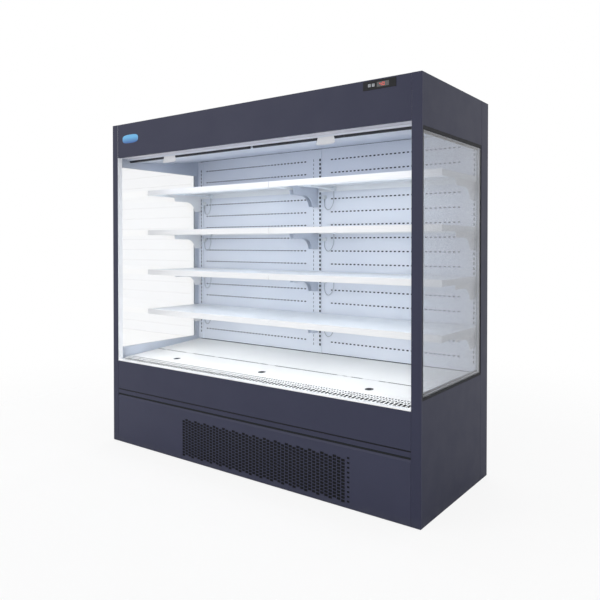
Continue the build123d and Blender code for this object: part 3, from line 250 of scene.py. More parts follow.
def buildFloor(values):
    paper = newMaterial("paperFloor")
    first, second = values["paperWhites"]
    matt = addNode(paper, "BsdfPrincipled", {
        "Base Color": layered(paper, srgb(first), (spots(paper, 0.4), second)), "Roughness": 0.9})
    # the camera sees it nearly white, but not in the shade under the cabinet
    wide, deep = values["footprint"]
    under = inBox(paper, X=(-wide, wide), Y=(-deep, deep))
    clearOf = addNode(paper, "MapRange", {"Value": under, "To Min": values["floorWhite"], "To Max": 0.0})
    seen = addNode(paper, "LightPath", output="Is Camera Ray")
    lift = addNode(paper, "Math", {0: seen, 1: clearOf}, operation="MULTIPLY")
    white = addNode(paper, "Emission", {"Color": (1, 1, 1, 1), "Strength": 1.0})
    lifted = addNode(paper, "MixShader", {0: lift, 1: matt, 2: white})
    start, end = values["paperFade"]
    place = addNode(paper, "TexCoord", output="Object")
    far = addNode(paper, "VectorMath", {0: place}, "Value", operation="LENGTH")
    fade = addNode(paper, "MapRange", {
        "Value": far, "From Min": start, "From Max": end}, interpolation_type="SMOOTHSTEP")
    mixed = addNode(paper, "MixShader", {0: fade, 1: lifted, 2: addNode(paper, "BsdfTransparent")})
    addNode(paper, "OutputMaterial", {"Surface": mixed})
    reach = values["paperReach"]
    corners = [(-reach, -reach, 0), (reach, -reach, 0), (reach, reach, 0), (-reach, reach, 0)]
    floor = newMesh("floor", corners, [(0, 1, 2, 3)], paper)


buildSurround(studio)
addBoxes(studio["boxes"])
buildFloor(studio)
scene = bpy.context.scene
scene.view_settings.view_transform = "Standard"
print("studio built")

# materials

drawnLines = (0.02, 1, 1)  # stretches a pattern along the cabinet's width, the way an extrusion is drawn


def powderCoatedSteel(name, light, dark, roughness, grain=2.2 * mm, gloss=0.5, dustTop=0.0,
                      inner=None, joint=None, groove=None, holeShade=None):
    # steel sheet with baked polyester powder: an even colour, its gloss broken up by a faint orange peel
    # the real peel is 0.4 mm across, too fine to show, so it is drawn at grain
    material = newMaterial(name)
    layers = []
    if inner:
        # the side turned to the goods is another colour: nearer the middle than x, in front of y and above z;
        # on the shelf brackets it is painted shade on the middle brackets
        x, y, z, liningAndShade = inner
        layers.append((inBox(material, X=(-x, x), Y=(-1, y), Z=(z, 3)), liningAndShade))
    if joint:
        # painted shade in the seam along the front edge of the rear pans: a grey line broken into dashes
        at, wide, grey = joint
        line = inBox(material, Y=(at - wide / 2, at + wide / 2))
        dashes = patches(material, 0.09, 1, 0.25, 1.0, (1, 0.05, 0.05), (0.38, 0.44))
        layers.append((addNode(material, "Math", {0: line, 1: dashes}, operation="MULTIPLY"), grey))
    if groove:
        # painted shade: the groove's shadow line between two heights, spread over the rounded edges of the
        # sheet on both sides of it
        middle, high, deep = groove
        above = addNode(material, "Math", {0: placeAlong(material, "Z"), 1: middle}, operation="SUBTRACT")
        apart = addNode(material, "Math", {0: above}, operation="ABSOLUTE")
        line = addNode(material, "MapRange", {
            "Value": apart, "From Min": high / 2, "From Max": high / 2 + 1 * mm,
            "To Min": 1.0, "To Max": 0.0})
        layers.append((line, deep))
    if holeShade:
        # black discs round the finger holes, which lie pitch apart across the cabinet: painted shade in the
        # holes
        pitch, at, radius, black = holeShade
        x, y = placeAlong(material, "X"), placeAlong(material, "Y")
        across = addNode(material, "Math", {0: x, 1: pitch / 2, 2: -pitch / 2}, operation="WRAP")
        along = addNode(material, "Math", {0: y, 1: at}, operation="SUBTRACT")
        flat = addNode(material, "CombineXYZ", {"X": across, "Y": along})
        apart = addNode(material, "VectorMath", {0: flat}, "Value", operation="LENGTH")
        layers.append((addNode(material, "Math", {0: apart, 1: radius}, operation="LESS_THAN"), black))
    if dustTop:
        # scuffs and dust along the foot of the panel
        low = addNode(material, "MapRange", {
            "Value": placeAlong(material, "Z"), "From Max": dustTop, "To Min": 0.5, "To Max": 0.0})
        patchy = addNode(material, "Math", {0: low, 1: patches(material, 0.05, 4)}, operation="MULTIPLY")
        layers.append((patchy, "#4b4d58"))
    return finished(material, {
        "Base Color": layered(material, mottled(material, light, dark, 0.35, 3), *layers),
        "Roughness": patches(material, 0.09, 3, roughness - 0.02, roughness + 0.03),
        "Normal": grained(material, grain, 0.25, 0.1 * mm, 1), "IOR": 1.5, "Specular IOR Level": gloss})


def clearGlass():
    # float glass: clear when looked at squarely, and greyer along a long slanting way through the pane: the
    # glass's own tint, made far stronger than real glass as a painted reflection of grey surroundings
    material = newMaterial("floatGlass")
    facing = addNode(material, "LayerWeight", {"Blend": 0.5}, "Facing")
    slant = addNode(material, "MapRange", {"Value": facing, "From Min": 0.32, "From Max": 0.62})
    return finished(material, {
        "Base Color": layered(material, srgb("#ffffff"), (slant, "#c2c6ce")),
        "Roughness": patches(material, 0.3, 2, 0.0, 0.03), "IOR": 1.45, "Transmission Weight": 1.0})


def sealRubber(name, light, dark, innerHalf=None):
    # extruded EPDM: matt, with a paler bloom; innerHalf is (x, colour) of the side turned to the goods
    material = newMaterial(name)
    layers = []
    if innerHalf:
        half, pale = innerHalf
        layers.append((inBox(material, X=(-half, half)), pale))
    return finished(material, {
        "Base Color": layered(material, mottled(material, dark, light, 0.02, 3), *layers),
        "Roughness": 0.75, "IOR": 1.52, "Specular IOR Level": 0.25,
        "Normal": grained(material, 1.5 * mm, 0.2)})


def paintedShadeSteel():
    # a grey-black, matt steel: painted shade at the walls of punched holes, on the backs of sheets and in the
    # gaps and hollows behind them
    material = newMaterial("paintedShadeSteel")
    return finished(material, {
        "Base Color": mottled(material, "#17191d", "#26292e", 4 * mm, 3),
        "Roughness": 0.8, "IOR": 1.5, "Specular IOR Level": 0.2})


def opalAcrylic(name, light, dark, glow, litTo=None):
    # opal acrylic over light-emitting diodes: milky, a little uneven, lit from behind
    material = newMaterial(name)
    glowColour = srgb("#f3f8ff")
    if litTo is not None:
        # only the lamp bars, which lie in front of litTo, are lit; their wiring strips aren't
        glowColour = layered(material, srgb("#000000"), (inBox(material, Y=(-1, litTo)), "#f3f8ff"))
    return finished(material, {
        "Base Color": mottled(material, light, dark, 0.12), "Roughness": 0.35, "IOR": 1.49,
        "Emission Color": glowColour, "Emission Strength": glow})


def mouldedPlastic(name, light, dark, roughness, grain=1.2 * mm, gloss=0.5):
    # injection-moulded plastic: a fine spark-eroded texture that dulls the highlight
    material = newMaterial(name)
    return finished(material, {
        "Base Color": mottled(material, light, dark, 0.06),
        "Roughness": patches(material, 0.03, 2, roughness - 0.04, roughness + 0.05),
        "Normal": grained(material, grain, 0.15, detail=1), "IOR": 1.53, "Specular IOR Level": gloss})


def extrudedPvc():
    # extruded PVC rail: smooth and glossy, with faint draw lines along its length
    material = newMaterial("extrudedPvc")
    return finished(material, {
        "Base Color": mottled(material, "#fdfdfe", "#f3f5f8", 2 * mm, 2, drawnLines), "Roughness": 0.28,
        "IOR": 1.53, "Normal": grained(material, 2 * mm, 0.1, stretch=drawnLines)})


def galvanisedSteel():
    # hot-dipped zinc: overlapping grey crystals about 8 mm across; darker than new zinc, partly a dull patina
    # and partly painted shade of the machine space
    material = newMaterial("galvanisedSteel")
    place = addNode(material, "TexCoord", output="Object")
    crystals = addNode(material, "TexVoronoi", {"Vector": place, "Scale": 1 / (8 * mm)}, "Color")
    grey = addNode(material, "RGBToBW", {"Color": crystals})
    return finished(material, {
        "Base Color": layered(material, srgb("#66696e"), (grey, "#8b8f94")), "Metallic": 1.0,
        "Roughness": addNode(material, "MapRange", {"Value": grey, "To Min": 0.38, "To Max": 0.55})})


def finnedAluminium():
    # pressed fin stock, 2 mm apart: drawn 6 mm apart, as bright edges and dark gaps that show; the dark gaps
    # are painted shade between the fins, and the whole coil is darker than aluminium as painted shade of the
    # machine space
    material = newMaterial("finnedAluminium")
    fins = stripes(material, 6 * mm, "X", 0.4)
    return finished(material, {
        "Base Color": layered(material, srgb("#1d1f22"), (fins, "#5d6063")),
        "Metallic": 0.7, "Roughness": 0.45,
        "Normal": addNode(material, "Bump", {"Strength": 0.6, "Distance": 1 * mm, "Height": fins})})


def drawnCopper():
    # drawn copper tube: bright where new, browner in patches
    material = newMaterial("drawnCopper")
    return finished(material, {
        "Base Color": mottled(material, "#d79b76", "#8e5a40", 0.03, 4), "Metallic": 1.0,
        "Roughness": patches(material, 0.02, 3, 0.25, 0.5)})


def wovenCloth():
    # coated polyester blind cloth: the ribs run down it, 0.6 mm apart and drawn at 2 mm so that they show
    material = newMaterial("wovenPolyester")
    ribs = stripes(material, 2 * mm, "X")
    return finished(material, {
        "Base Color": layered(material, srgb("#b8bdc1"), (ribs, "#d5d9dc")),
        "Roughness": 0.8, "Sheen Weight": 0.2, "IOR": 1.5,
        "Normal": addNode(material, "Bump", {"Strength": 0.4, "Distance": 0.4 * mm, "Height": ribs})})


def anodisedAluminium():
    # extruded aluminium, anodised dark: satin, with faint draw lines along it
    material = newMaterial("anodisedAluminium")
    return finished(material, {
        "Base Color": mottled(material, "#3e4047", "#2c2e33", 2 * mm, 2, drawnLines), "Metallic": 0.7,
        "Roughness": 0.4, "Normal": grained(material, 2 * mm, 0.1, stretch=drawnLines)})


def fusedEnamel():
    # glass enamel fused on a metal plate: deep colour, lighter towards the top, glossy
    material = newMaterial("fusedEnamel")
    place = addNode(material, "TexCoord", output="Generated")
    height = addNode(material, "SeparateXYZ", {"Vector": place}, "Z")
    fade = addNode(material, "MapRange", {"Value": height, "From Min": 0.1, "From Max": 0.7})
    return finished(material, {
        "Base Color": layered(material, srgb("#2b62a6"), (fade, "#63b4e6")),
        "Roughness": 0.15, "IOR": 1.5, "Coat Weight": 0.4})


def smokedLens():
    # smoked acrylic: dark and glossy
    material = newMaterial("smokedAcrylic")
    return finished(material, {
        "Base Color": srgb("#120809"), "Roughness": patches(material, 0.02, 2, 0.05, 0.14), "IOR": 1.49})


def litSegments():
    # light-emitting segments under a red filter: a glow that is a little uneven
    material = newMaterial("litSegments")
    return finished(material, {
        "Base Color": srgb("#e0463c"), "Roughness": 0.4, "IOR": 1.49,
        "Emission Color": mottled(material, "#ff6b5a", "#d43a34", 3 * mm, 1), "Emission Strength": 1.2})


def screenPrintedInk():
    # screen-printed ink: matt, a little thin where the mesh left it
    material = newMaterial("screenPrintedInk")
    return finished(material, {
        "Base Color": mottled(material, "#1d2126", "#343940", 0.8 * mm), "Roughness": 0.6, "IOR": 1.5})


outsideFront = powderCoatedSteel("slatePowderCoat", "#313348", "#2f3146", 0.5, gloss=0.26, dustTop=0.05)
postPaint = powderCoatedSteel("slatePostPowderCoat", "#313348", "#2f3146", 0.5, gloss=0.26, dustTop=0.05,
                              inner=(1.0106, 0.0, 0.5, "#fbfcfe"))
# the groove above the trim strip is painted dark as its shade
panelFront = powderCoatedSteel("slatePanelPowderCoat", "#33354a", "#313348", 0.5, gloss=0.28,
                               groove=(0.3305, 5.4 * mm, "#12131c"))
# the end walls take the same slate paint as the front, set darker as painted shade on the sides
outsideSide = powderCoatedSteel("slateSidePowderCoat", "#2b2d41", "#292b3f", 0.52, gloss=0.25, dustTop=0.05,
                                inner=(1.0365, 0.345, 0.5, "#c8cfdb"))
outsideRear = powderCoatedSteel("slateRearPowderCoat", "#323448", "#303246", 0.52, gloss=0.28, dustTop=0.05)
kickPaint = powderCoatedSteel("slateKickPowderCoat", "#35374d", "#33354a", 0.5, gloss=0.3, dustTop=0.04)
insideWhite = powderCoatedSteel("whitePowderCoat", "#e4e9f2", "#dee4ef", 0.4)
# the brackets nearer the middle are a greyer white: painted shade, as less light reaches them than the
# brackets at the end walls
bracketWhite = powderCoatedSteel("whiteBracketPowderCoat", "#fafafb", "#f5f6f8", 0.4,
                                 inner=(0.95, 0.4, 0.5, "#d2d9e6"))
shelfWhite = powderCoatedSteel("whiteShelfPowderCoat", "#f2f5f8", "#eaeef2", 0.36)
# black discs round the finger holes are painted shade in the holes
deckWhite = powderCoatedSteel("whiteDeckPowderCoat", "#fbfaf7", "#f6f5f2", 0.38,
                              holeShade=(0.6885, -0.2051, 22 * mm, "#17181b"))
# a grey dashed line along the rear pans' front edge is painted shade in the seam
panWhite = powderCoatedSteel("whitePanPowderCoat", "#fbfaf7", "#f6f5f2", 0.38,
                             joint=(-0.057, 11 * mm, "#6d6861"))
compressorEnamel = powderCoatedSteel("blackEnamel", "#1b1c1e", "#242528", 0.32, 1.5 * mm)  # baked enamel
glass = clearGlass()
rubber = sealRubber("extrudedRubber", "#2b2c31", "#191a1e")
glazingSeal = sealRubber("glazingRubber", "#2b2c31", "#191a1e", (1.0560, "#a8aeb9"))
greyRubber = sealRubber("greyRubber", "#565b69", "#474c5a")
paleRubber = sealRubber("paleRubber", "#c8ced9", "#bdc3cf")
# black foam that darkens what shows through the kick panel's holes: painted shade
shadeFoam = sealRubber("shadeFoam", "#141519", "#0b0c0f")  # foamed, and as matt as the seals
# painted shade: the dark steel for hole walls, sheet backs, the tub and the kick panel's gap
shadeSteel = paintedShadeSteel()
diffuser = opalAcrylic("opalAcrylic", "#b3b1bb", "#a5a3af", 0.12)
lampPlastic = opalAcrylic("opalPolycarbonate", "#eef3f8", "#e4eaf1", 6.2, -0.095)
railPvc = extrudedPvc()
zinc = galvanisedSteel()
finStock = finnedAluminium()
copper = drawnCopper()
blindCloth = wovenCloth()
blindPlastic = mouldedPlastic("whiteAbs", "#f1f2f4", "#e8eaec", 0.4)
fanPlastic = mouldedPlastic("blackPolypropylene", "#1c1d1f", "#26272a", 0.5)
boxPlastic = mouldedPlastic("greyPolycarbonate", "#4b4e53", "#43464b", 0.5)
bezelPlastic = mouldedPlastic("blackAbs", "#0e0f13", "#15161b", 0.55, gloss=0.25)
keyPlastic = mouldedPlastic("greyKeyAbs", "#a7abb0", "#9a9ea4", 0.4)
leadPvc = mouldedPlastic("softLeadPvc", "#b9bfc6", "#a9b0b8", 0.45, 0.8 * mm)
socketPlastic = mouldedPlastic("whiteSocketNylon", "#e4e8ec", "#d8dde2", 0.42)
barAluminium = anodisedAluminium()
plateEnamel = fusedEnamel()
lens = smokedLens()
litDigits = litSegments()
markPaint = screenPrintedInk()

dress(outsideFront, "header_fascia", "canopy_top")
dress(postPaint, "left_front_post", "right_front_post")
dress(panelFront, "front_panel")
dress(outsideSide, "left_end_frame", "right_end_frame")
dress(outsideRear, "rear_wall", "machine_rear_cover")
dress(kickPaint, "kick_grille")
dress(insideWhite, "rear_panel_left", "rear_panel_right", "shelf_uprights", "canopy_rear_ceiling",
      "lamp_carrier")
dress(bracketWhite, "shelf_brackets")
dress(shelfWhite, *[f"shelf_{row}_{side}" for side in ("left", "right") for row in range(1, 5)])
dress(deckWhite, "deck_cover_left", "deck_cover_middle", "deck_cover_right", "return_grille")
dress(panWhite, "deck_rear_pans")
# the tub takes the dark steel as painted shade under the deck
dress(shadeSteel, "insulated_tub")
dress(railPvc, "price_rails")
dress(glass, "left_side_glass", "right_side_glass")
dress(glazingSeal, "glass_seals")
dress(diffuser, "canopy_light")
dress(lampPlastic, "shelf_lamps")
dress(barAluminium, "blind_bar_left", "blind_bar_right")
dress(blindCloth, "blind_cloth_left", "blind_cloth_right", "blind_roller_left", "blind_roller_right")
dress(zinc, "base_frame", "levelling_feet", "condenser_fan_shroud", "evaporator_fan_plate")
dress(finStock, "condenser_coil", "evaporator_coil")
dress(copper, "refrigerant_pipes")
dress(compressorEnamel, "compressor")
dress(fanPlastic, "evaporator_fan_left", "evaporator_fan_right", "condenser_fan_blade")
dress(boxPlastic, "electrical_box")
dress(bezelPlastic, "controller_bezel")
dress(lens, "controller_display")
dress(keyPlastic, "controller_key_up", "controller_key_down")
dress(leadPvc, "shelf_light_leads")
for name in ("left_side_glass", "right_side_glass"):
    nodes[name].visible_shadow = False  # lamps shine through the clear panes
print("materials made")

# lamp leads: thin flexible leads that hang in a loop from socket to connector under each shelf

lampLeads = {
    "bays": {"Left": -1036 * mm, "Right": 0.0}, "shelfTops": (0.808, 1.068, 1.328, 1.588),
    "socketFromBay": 64 * mm, "socketY": 319 * mm, "socketDown": 73 * mm,
    "connectorFromBay": 148 * mm, "connectorY": 297.5 * mm, "connectorDown": 29.2 * mm,
    "slack": (0, 5, -4, 3), "lengths": (0.2167, 0.2263, 0.2091, 0.2225), "diameter": 4.6 * mm,
}


def addLampLeads(values):
    y0, y1 = pick(values, "socketY connectorY")
    for sideName, start in values["bays"].items():
        x0, x1 = (start + x for x in pick(values, "socketFromBay connectorFromBay"))
        for row, top in enumerate(values["shelfTops"]):
            z0, z1 = top - values["socketDown"], top - values["connectorDown"]
            low = z0 - values["slack"][row] * mm
            route = [
                (x0, y0, z0), (x0, y0, z0 - 20 * mm), (x0 + 6 * mm, y0 - 4 * mm, low - 48 * mm),
                (x0 + 33 * mm, y0 - 12 * mm, low - 69 * mm), (x0 + 65 * mm, y0 - 19 * mm, low - 55 * mm),
                (x0 + 83 * mm, y1 + 1 * mm, low - 18 * mm), (x1, y1, low / 2 + z1 / 2 - 6 * mm), (x1, y1, z1),
            ]
            name = f"lampLead{sideName}{row + 1}"
            curve = bpy.data.curves.new(name, "CURVE")
            curve.dimensions = "3D"
            spline = curve.splines.new("NURBS")
            spline.points.add(len(route) - 1)
            for point, place in zip(spline.points, route):
                point.co = (*place, 1)
            spline.order_u = 3
            spline.use_endpoint_u = True
            spline.resolution_u = 8
            curve.bevel_depth = values["diameter"] / 2
            curve.bevel_resolution = 4
            curve.use_fill_caps = True
            curve.materials.append(leadPvc)
            lead = bpy.data.objects.new(name, curve)
            bpy.context.collection.objects.link(lead)
            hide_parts("shelf_light_leads")
            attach(lead, "root")
            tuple(route[0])


addLampLeads(lampLeads)
print("lamp leads hung")

# sheet metal with punched holes


def breaks(start, end, spans):
    # the grid lines of a sheet: its two edges and both edges of each hole
    return sorted({round(v, 7) for v in (start, end, *[edge for span in spans for edge in span])})


def spansAbout(centres, wide):
    return [(centre - wide / 2, centre + wide / 2) for centre in centres]


def noHoles(u, v):
    return False


def standing(front, thick):
    # places a sheet upright across the cabinet
    return lambda u, v, side: (u, front + side * thick, v)


def punchedSheet(us, vs, isHole, place):
    # a sheet between two faces on a grid of lines; isHole says which cells are punched out
    verts, faces, found = [], [], {}

    def corner(i, j, side):
        key = (i, j, side)
        if key not in found:
            found[key] = len(verts)
            verts.append(place(us[i], vs[j], side))
        return found[key]

    wide, tall = len(us) - 1, len(vs) - 1
    solid = [[not isHole((us[i] + us[i + 1]) / 2, (vs[j] + vs[j + 1]) / 2) for j in range(tall)]
             for i in range(wide)]

    def filled(i, j):
        return 0 <= i < wide and 0 <= j < tall and solid[i][j]

    around = ((0, 0), (1, 0), (1, 1), (0, 1))  # a cell's corners
    walls = {(-1, 0): ((0, 0), (0, 1)), (1, 0): ((1, 0), (1, 1)),
             (0, -1): ((0, 0), (1, 0)), (0, 1): ((0, 1), (1, 1))}
    for i in range(wide):
        for j in range(tall):
            if not solid[i][j]:
                continue
            for side in (0, 1):
                faces.append([corner(i + a, j + b, side) for a, b in around])
            for (di, dj), (a, b) in walls.items():
                if not filled(i + di, j + dj):
                    faces.append([corner(i + a[0], j + a[1], 0), corner(i + b[0], j + b[1], 0),
                                  corner(i + b[0], j + b[1], 1), corner(i + a[0], j + a[1], 1)])
    return verts, faces


def slottedSheet(u0, u1, v0, v1, columns, rows, place, bends=()):
    # a sheet with holes where a column's span crosses a row's; bends are further lines across it
    def isHole(u, v):
        return any(a < u < b for a, b in columns) and any(a < v < b for a, b in rows)

    return punchedSheet(breaks(u0, u1, columns), sorted([*breaks(v0, v1, rows), *bends]), isHole, place)


def addBox(verts, faces, x0, x1, y0, y1, z0, z1):
    # one more box among a piece's faces
    first = len(verts)
    verts.extend([(x, y, z) for x in (x0, x1) for y in (y0, y1) for z in (z0, z1)])
    for quad in ((0, 1, 3, 2), (4, 6, 7, 5), (0, 4, 5, 1), (2, 3, 7, 6), (0, 2, 6, 4), (1, 5, 7, 3)):
        faces.append([first + n for n in quad])


def joined(sheets):
    verts, faces = [], []
    for moreVerts, moreFaces in sheets:
        first = len(verts)
        verts.extend(moreVerts)
        faces.extend([[first + n for n in face] for face in moreFaces])
    return verts, faces


def lofted(rings, size):
    # faces from ring to ring of points, and across both ends
    faces = []
    for first in range(0, (rings - 1) * size, size):
        for n in range(size):
            m = (n + 1) % size
            faces.append([first + n, first + m, first + size + m, first + size + n])
    return [*faces, list(range(size)), list(range((rings - 1) * size, rings * size))]


def extrusion(name, outline, x0, x1, material):
    # a bar along the cabinet's width; its outline is a ring of (y, z)
    verts = [(x, y, z) for x in (x0, x1) for y, z in outline]
    return newMesh(name, verts, lofted(2, len(outline)), material)


def standIn(piece, node, body="root"):
    # the piece is shown in place of a plainer solid
    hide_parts(node)
    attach(piece, body)


def showEdges(piece, isInside):
    # the walls of the holes and the back of the sheet take the dark steel: painted shade that makes the holes
    # read dark
    piece.data.materials.append(shadeSteel)
    for polygon in piece.data.polygons:
        if isInside(polygon.center, polygon.normal):
            polygon.material_index = 1


def within(value, low, high):
    return low + 0.1 * mm < value < high - 0.1 * mm


kickPanel = {
    "reach": 1.010, "low": 0.002, "high": 0.3015, "front": -0.399, "thick": 1.5 * mm,
    "field": (-0.432, 0.672, 0.022, 0.246),  # left, right, low, high
    "columnPitch": 24 * mm, "holeWide": 19.5 * mm, "rowPitch": 16 * mm, "holeHigh": 12 * mm, "steps": 3,
    "ventX": 0.689, "ventWide": 13 * mm, "ventEdge": 7 * mm,
    "ventHigh": 9 * mm, "vents": 10, "ventLow": 32.7 * mm, "ventPitch": 22.8 * mm,
    "gapHigh": 8 * mm, "bevelHigh": 10 * mm, "bevelDeep": 3.5 * mm,
    "returnRear": -0.3923, "footDeep": 14 * mm, "clips": (-0.89, -0.52, 0.75, 0.89), "clipReach": 1.036,
    "clipHalf": 12 * mm, "clip": (-0.350, 0.060, 0.063),  # rear, low, high
    "sealFront": 2.5 * mm, "sealRear": 6.5 * mm, "sealTop": 0.3036,
    "filter": (-0.445, 0.705, 0.012, 0.262),  # left, right, low, high
    "filterGap": 1.2 * mm, "filterThick": 4 * mm, "filterPitch": 10 * mm, "cushion": 0.8 * mm,
}


def buildKickPanel(values):
    reach, low, high, front, thick = pick(values, "reach low high front thick")
    left, right, fieldLow, fieldHigh = values["field"]
    columnPitch, rowPitch, steps = pick(values, "columnPitch rowPitch steps")
    columns = int((right - left) / columnPitch)
    margin = (right - left - columns * columnPitch) / 2
    centres = [left + margin + (n + 0.5) * columnPitch for n in range(columns)]
    rows = int((fieldHigh - fieldLow) / rowPitch - (steps - 1) / steps)
    columnSpans = spansAbout(centres, values["holeWide"])
    rowSpans = [spansAbout([fieldLow + (n + 0.5 + step / steps) * rowPitch for n in range(rows)],
                           values["holeHigh"]) for step in range(steps)]
    allRows = [span for spans in rowSpans for span in spans]
    edge = right + values["ventEdge"]
    bevelHigh, bevelDeep = pick(values, "bevelHigh bevelDeep")
    brow = high - values["gapHigh"] - bevelHigh  # above it the sheet leans back under the trim
    top = brow + bevelHigh

    def fieldHole(u, v):
        # each column of holes is a step lower than the one before it, over a cycle of a few columns
        column = next((n for n, (a, b) in enumerate(columnSpans) if a < u < b), None)
        return column is not None and any(a < v < b for a, b in rowSpans[-column % steps])

    def onFront(u, v, side):
        lean = max(0.0, v - brow) / bevelHigh * bevelDeep
        return (u, front + side * thick + lean, v)

    field = punchedSheet(
        breaks(left, edge, columnSpans), [*breaks(low, brow, allRows), top], fieldHole, onFront)
    ventLevels = [values["ventLow"] + n * values["ventPitch"] for n in range(values["vents"])]
    ventRows = spansAbout(ventLevels, values["ventHigh"])
    ventColumn = spansAbout([values["ventX"]], values["ventWide"])
    vents = slottedSheet(edge, reach, low, top, ventColumn, ventRows, onFront, bends=[brow])
    plain = punchedSheet([-reach, left], [low, brow, top], noHoles, onFront)
    verts, faces = joined([plain, field, vents])
    # folded returns at the top and foot, and the clips that hook on the base
    addBox(verts, faces, -reach, reach, front + bevelDeep + thick, values["returnRear"], top - thick, top)
    addBox(verts, faces, -reach, reach, front + thick, front + values["footDeep"], low, low + thick)
    for share in values["clips"]:
        x, half = share * values["clipReach"], values["clipHalf"]
        addBox(verts, faces, x - half, x + half, front + thick, *values["clip"])
    panel = newMesh("kickPanel", verts, faces, kickPaint)
    showEdges(panel, lambda c, n: n.y > -0.5 and within(c.x, -reach, reach) and within(c.z, low, top))
    standIn(panel, "kick_grille")
    # a dark steel strip with a rounded edge closes the gap between the panel's top edge and the trim over it;
    # its dark is painted shade in the gap
    ahead, back, sealTop = front + values["sealFront"], front + values["sealRear"], values["sealTop"]
    outline = [(back, top), (ahead, top), (ahead, sealTop - 1.5 * mm),
               (ahead + 0.5 * mm, sealTop - 0.5 * mm), (ahead + 1.5 * mm, sealTop), (back, sealTop)]
    standIn(extrusion("kickSeal", outline, -reach, reach, shadeSteel), "kick_grille")
    # a black foam sheet lies behind the holes as painted shade in the machine space; its face is quilted in
    # small cushions
    x0, x1, z0, z1 = values["filter"]
    gap, pitch, cushion = pick(values, "filterGap filterPitch cushion")
    y0, across, up = front + thick + gap, int((x1 - x0) / pitch), int((z1 - z0) / pitch)
    verts, faces = [], []
    for i in range(2 * across + 1):
        for j in range(2 * up + 1):
            crown = 0.0 if i % 2 == 0 or j % 2 == 0 else cushion
            verts.append((x0 + (x1 - x0) * i / 2 / across, y0 + cushion - crown, z0 + (z1 - z0) * j / 2 / up))
            if i and j:
                last = len(verts) - 1
                faces.append([last - 2 * up - 2, last - 1, last, last - 2 * up - 1])
    addBox(verts, faces, x0, x1, y0 + 1 * mm, y0 + values["filterThick"], z0, z1)
    standIn(newMesh("shadeFilter", verts, faces, shadeFoam), "kick_grille")


buildKickPanel(kickPanel)
print("kick panel punched")

rearPanel = {
    "inner": 40.3 * mm, "outer": 985.7 * mm, "low": 0.562, "high": 1.826, "front": 0.325, "thick": 0.8 * mm,
    "rows": 15, "topRow": 1.755, "rowPitch": 80 * mm, "slotWide": 14 * mm, "slotHigh": 7.5 * mm,
    "slotPitch": 27 * mm, "margins": {-1: (22 * mm, 14 * mm), 1: (62 * mm, 22 * mm)}, "wall": 0.350,
    "socketHalf": (13 * mm, 12 * mm, 11 * mm), "socketDown": 62 * mm,
}


def buildRearPanel(side, name, node, values):
    x0, x1 = sorted(side * x for x in pick(values, "inner outer"))
    low, high, front, thick, wall = pick(values, "low high front thick wall")
    before, after = values["margins"][side]
    count = int((x1 - x0 - before - after) / values["slotPitch"])
    start = x0 + before + values["slotPitch"] / 2
    slots = spansAbout([start + n * values["slotPitch"] for n in range(count)], values["slotWide"])
    levels = [values["topRow"] - n * values["rowPitch"] for n in range(values["rows"])]
    rows = spansAbout(levels, values["slotHigh"])
    verts, faces = slottedSheet(x0, x1, low, high, slots, rows, standing(front, thick))
    for x in (x0, x1 - thick):
        addBox(verts, faces, x, x + thick, front + thick, wall, low, high)
    for z in (low, high - thick):
        addBox(verts, faces, x0, x1, front + thick, wall, z, z + thick)
    panel = newMesh(name, verts, faces, insideWhite)
    showEdges(panel, lambda c, n: n.y > -0.5 and within(c.x, x0, x1) and within(c.z, low, high))
    standIn(panel, node)
    # lamp sockets: small moulded blocks clipped into the panel, with rounded edges
    bayStart = lampLeads["bays"]["Left" if side < 0 else "Right"]
    a, deep, b = values["socketHalf"]
    verts, faces = [], []
    for top in lampLeads["shelfTops"]:
        x, z = bayStart + lampLeads["socketFromBay"], top - values["socketDown"]
        addBox(verts, faces, x - a, x + a, front - deep, front, z - b, z + b)
    sockets = newMesh(name + "Sockets", verts, faces, socketPlastic)
    bevel = sockets.modifiers.new("softEdges", "BEVEL")
    bevel.width, bevel.segments = 2 * mm, 3
    standIn(sockets, node)


buildRearPanel(-1, "rearPanelLeft", "rear_panel_left", rearPanel)
buildRearPanel(1, "rearPanelRight", "rear_panel_right", rearPanel)
print("rear panels punched")

uprights = {
    "low": 0.562, "high": 1.824, "front": 0.320, "thick": 2 * mm, "wall": 0.350,
    "firstSlot": 0.614, "slotPitch": 26 * mm, "slotHigh": 15 * mm, "slots": 45,
    # left, right and the columns of slots as (middle, width), in mm
    "channels": ((-1036, -986, ((-1005, 7),)), (-40, 40, ((-18, 3), (31, 12))), (986, 1036, ((1011, 8),))),
}


def buildUprights(values):
    low, high, front, thick, wall = pick(values, "low high front thick wall")
    levels = [values["firstSlot"] + n * values["slotPitch"] for n in range(values["slots"])]
    rows = spansAbout(levels, values["slotHigh"])
    verts, faces = [], []
    for left, right, columns in values["channels"]:
        x0, x1 = left * mm, right * mm
        spans = [((x - wide / 2) * mm, (x + wide / 2) * mm) for x, wide in columns]
        sheet = slottedSheet(x0, x1, low, high, spans, rows, standing(front, thick))
        verts, faces = joined([(verts, faces), sheet])
        for x in (x0, x1 - thick):
            addBox(verts, faces, x, x + thick, front + thick, wall, low, high)
    piece = newMesh("slottedUprights", verts, faces, insideWhite)
    showEdges(piece, lambda c, n: n.y > -0.5 and within(c.z, low, high) and any(
        within(c.x, left * mm, right * mm) for left, right, columns in values["channels"]))
    standIn(piece, "shelf_uprights")


buildUprights(uprights)
print("uprights slotted")

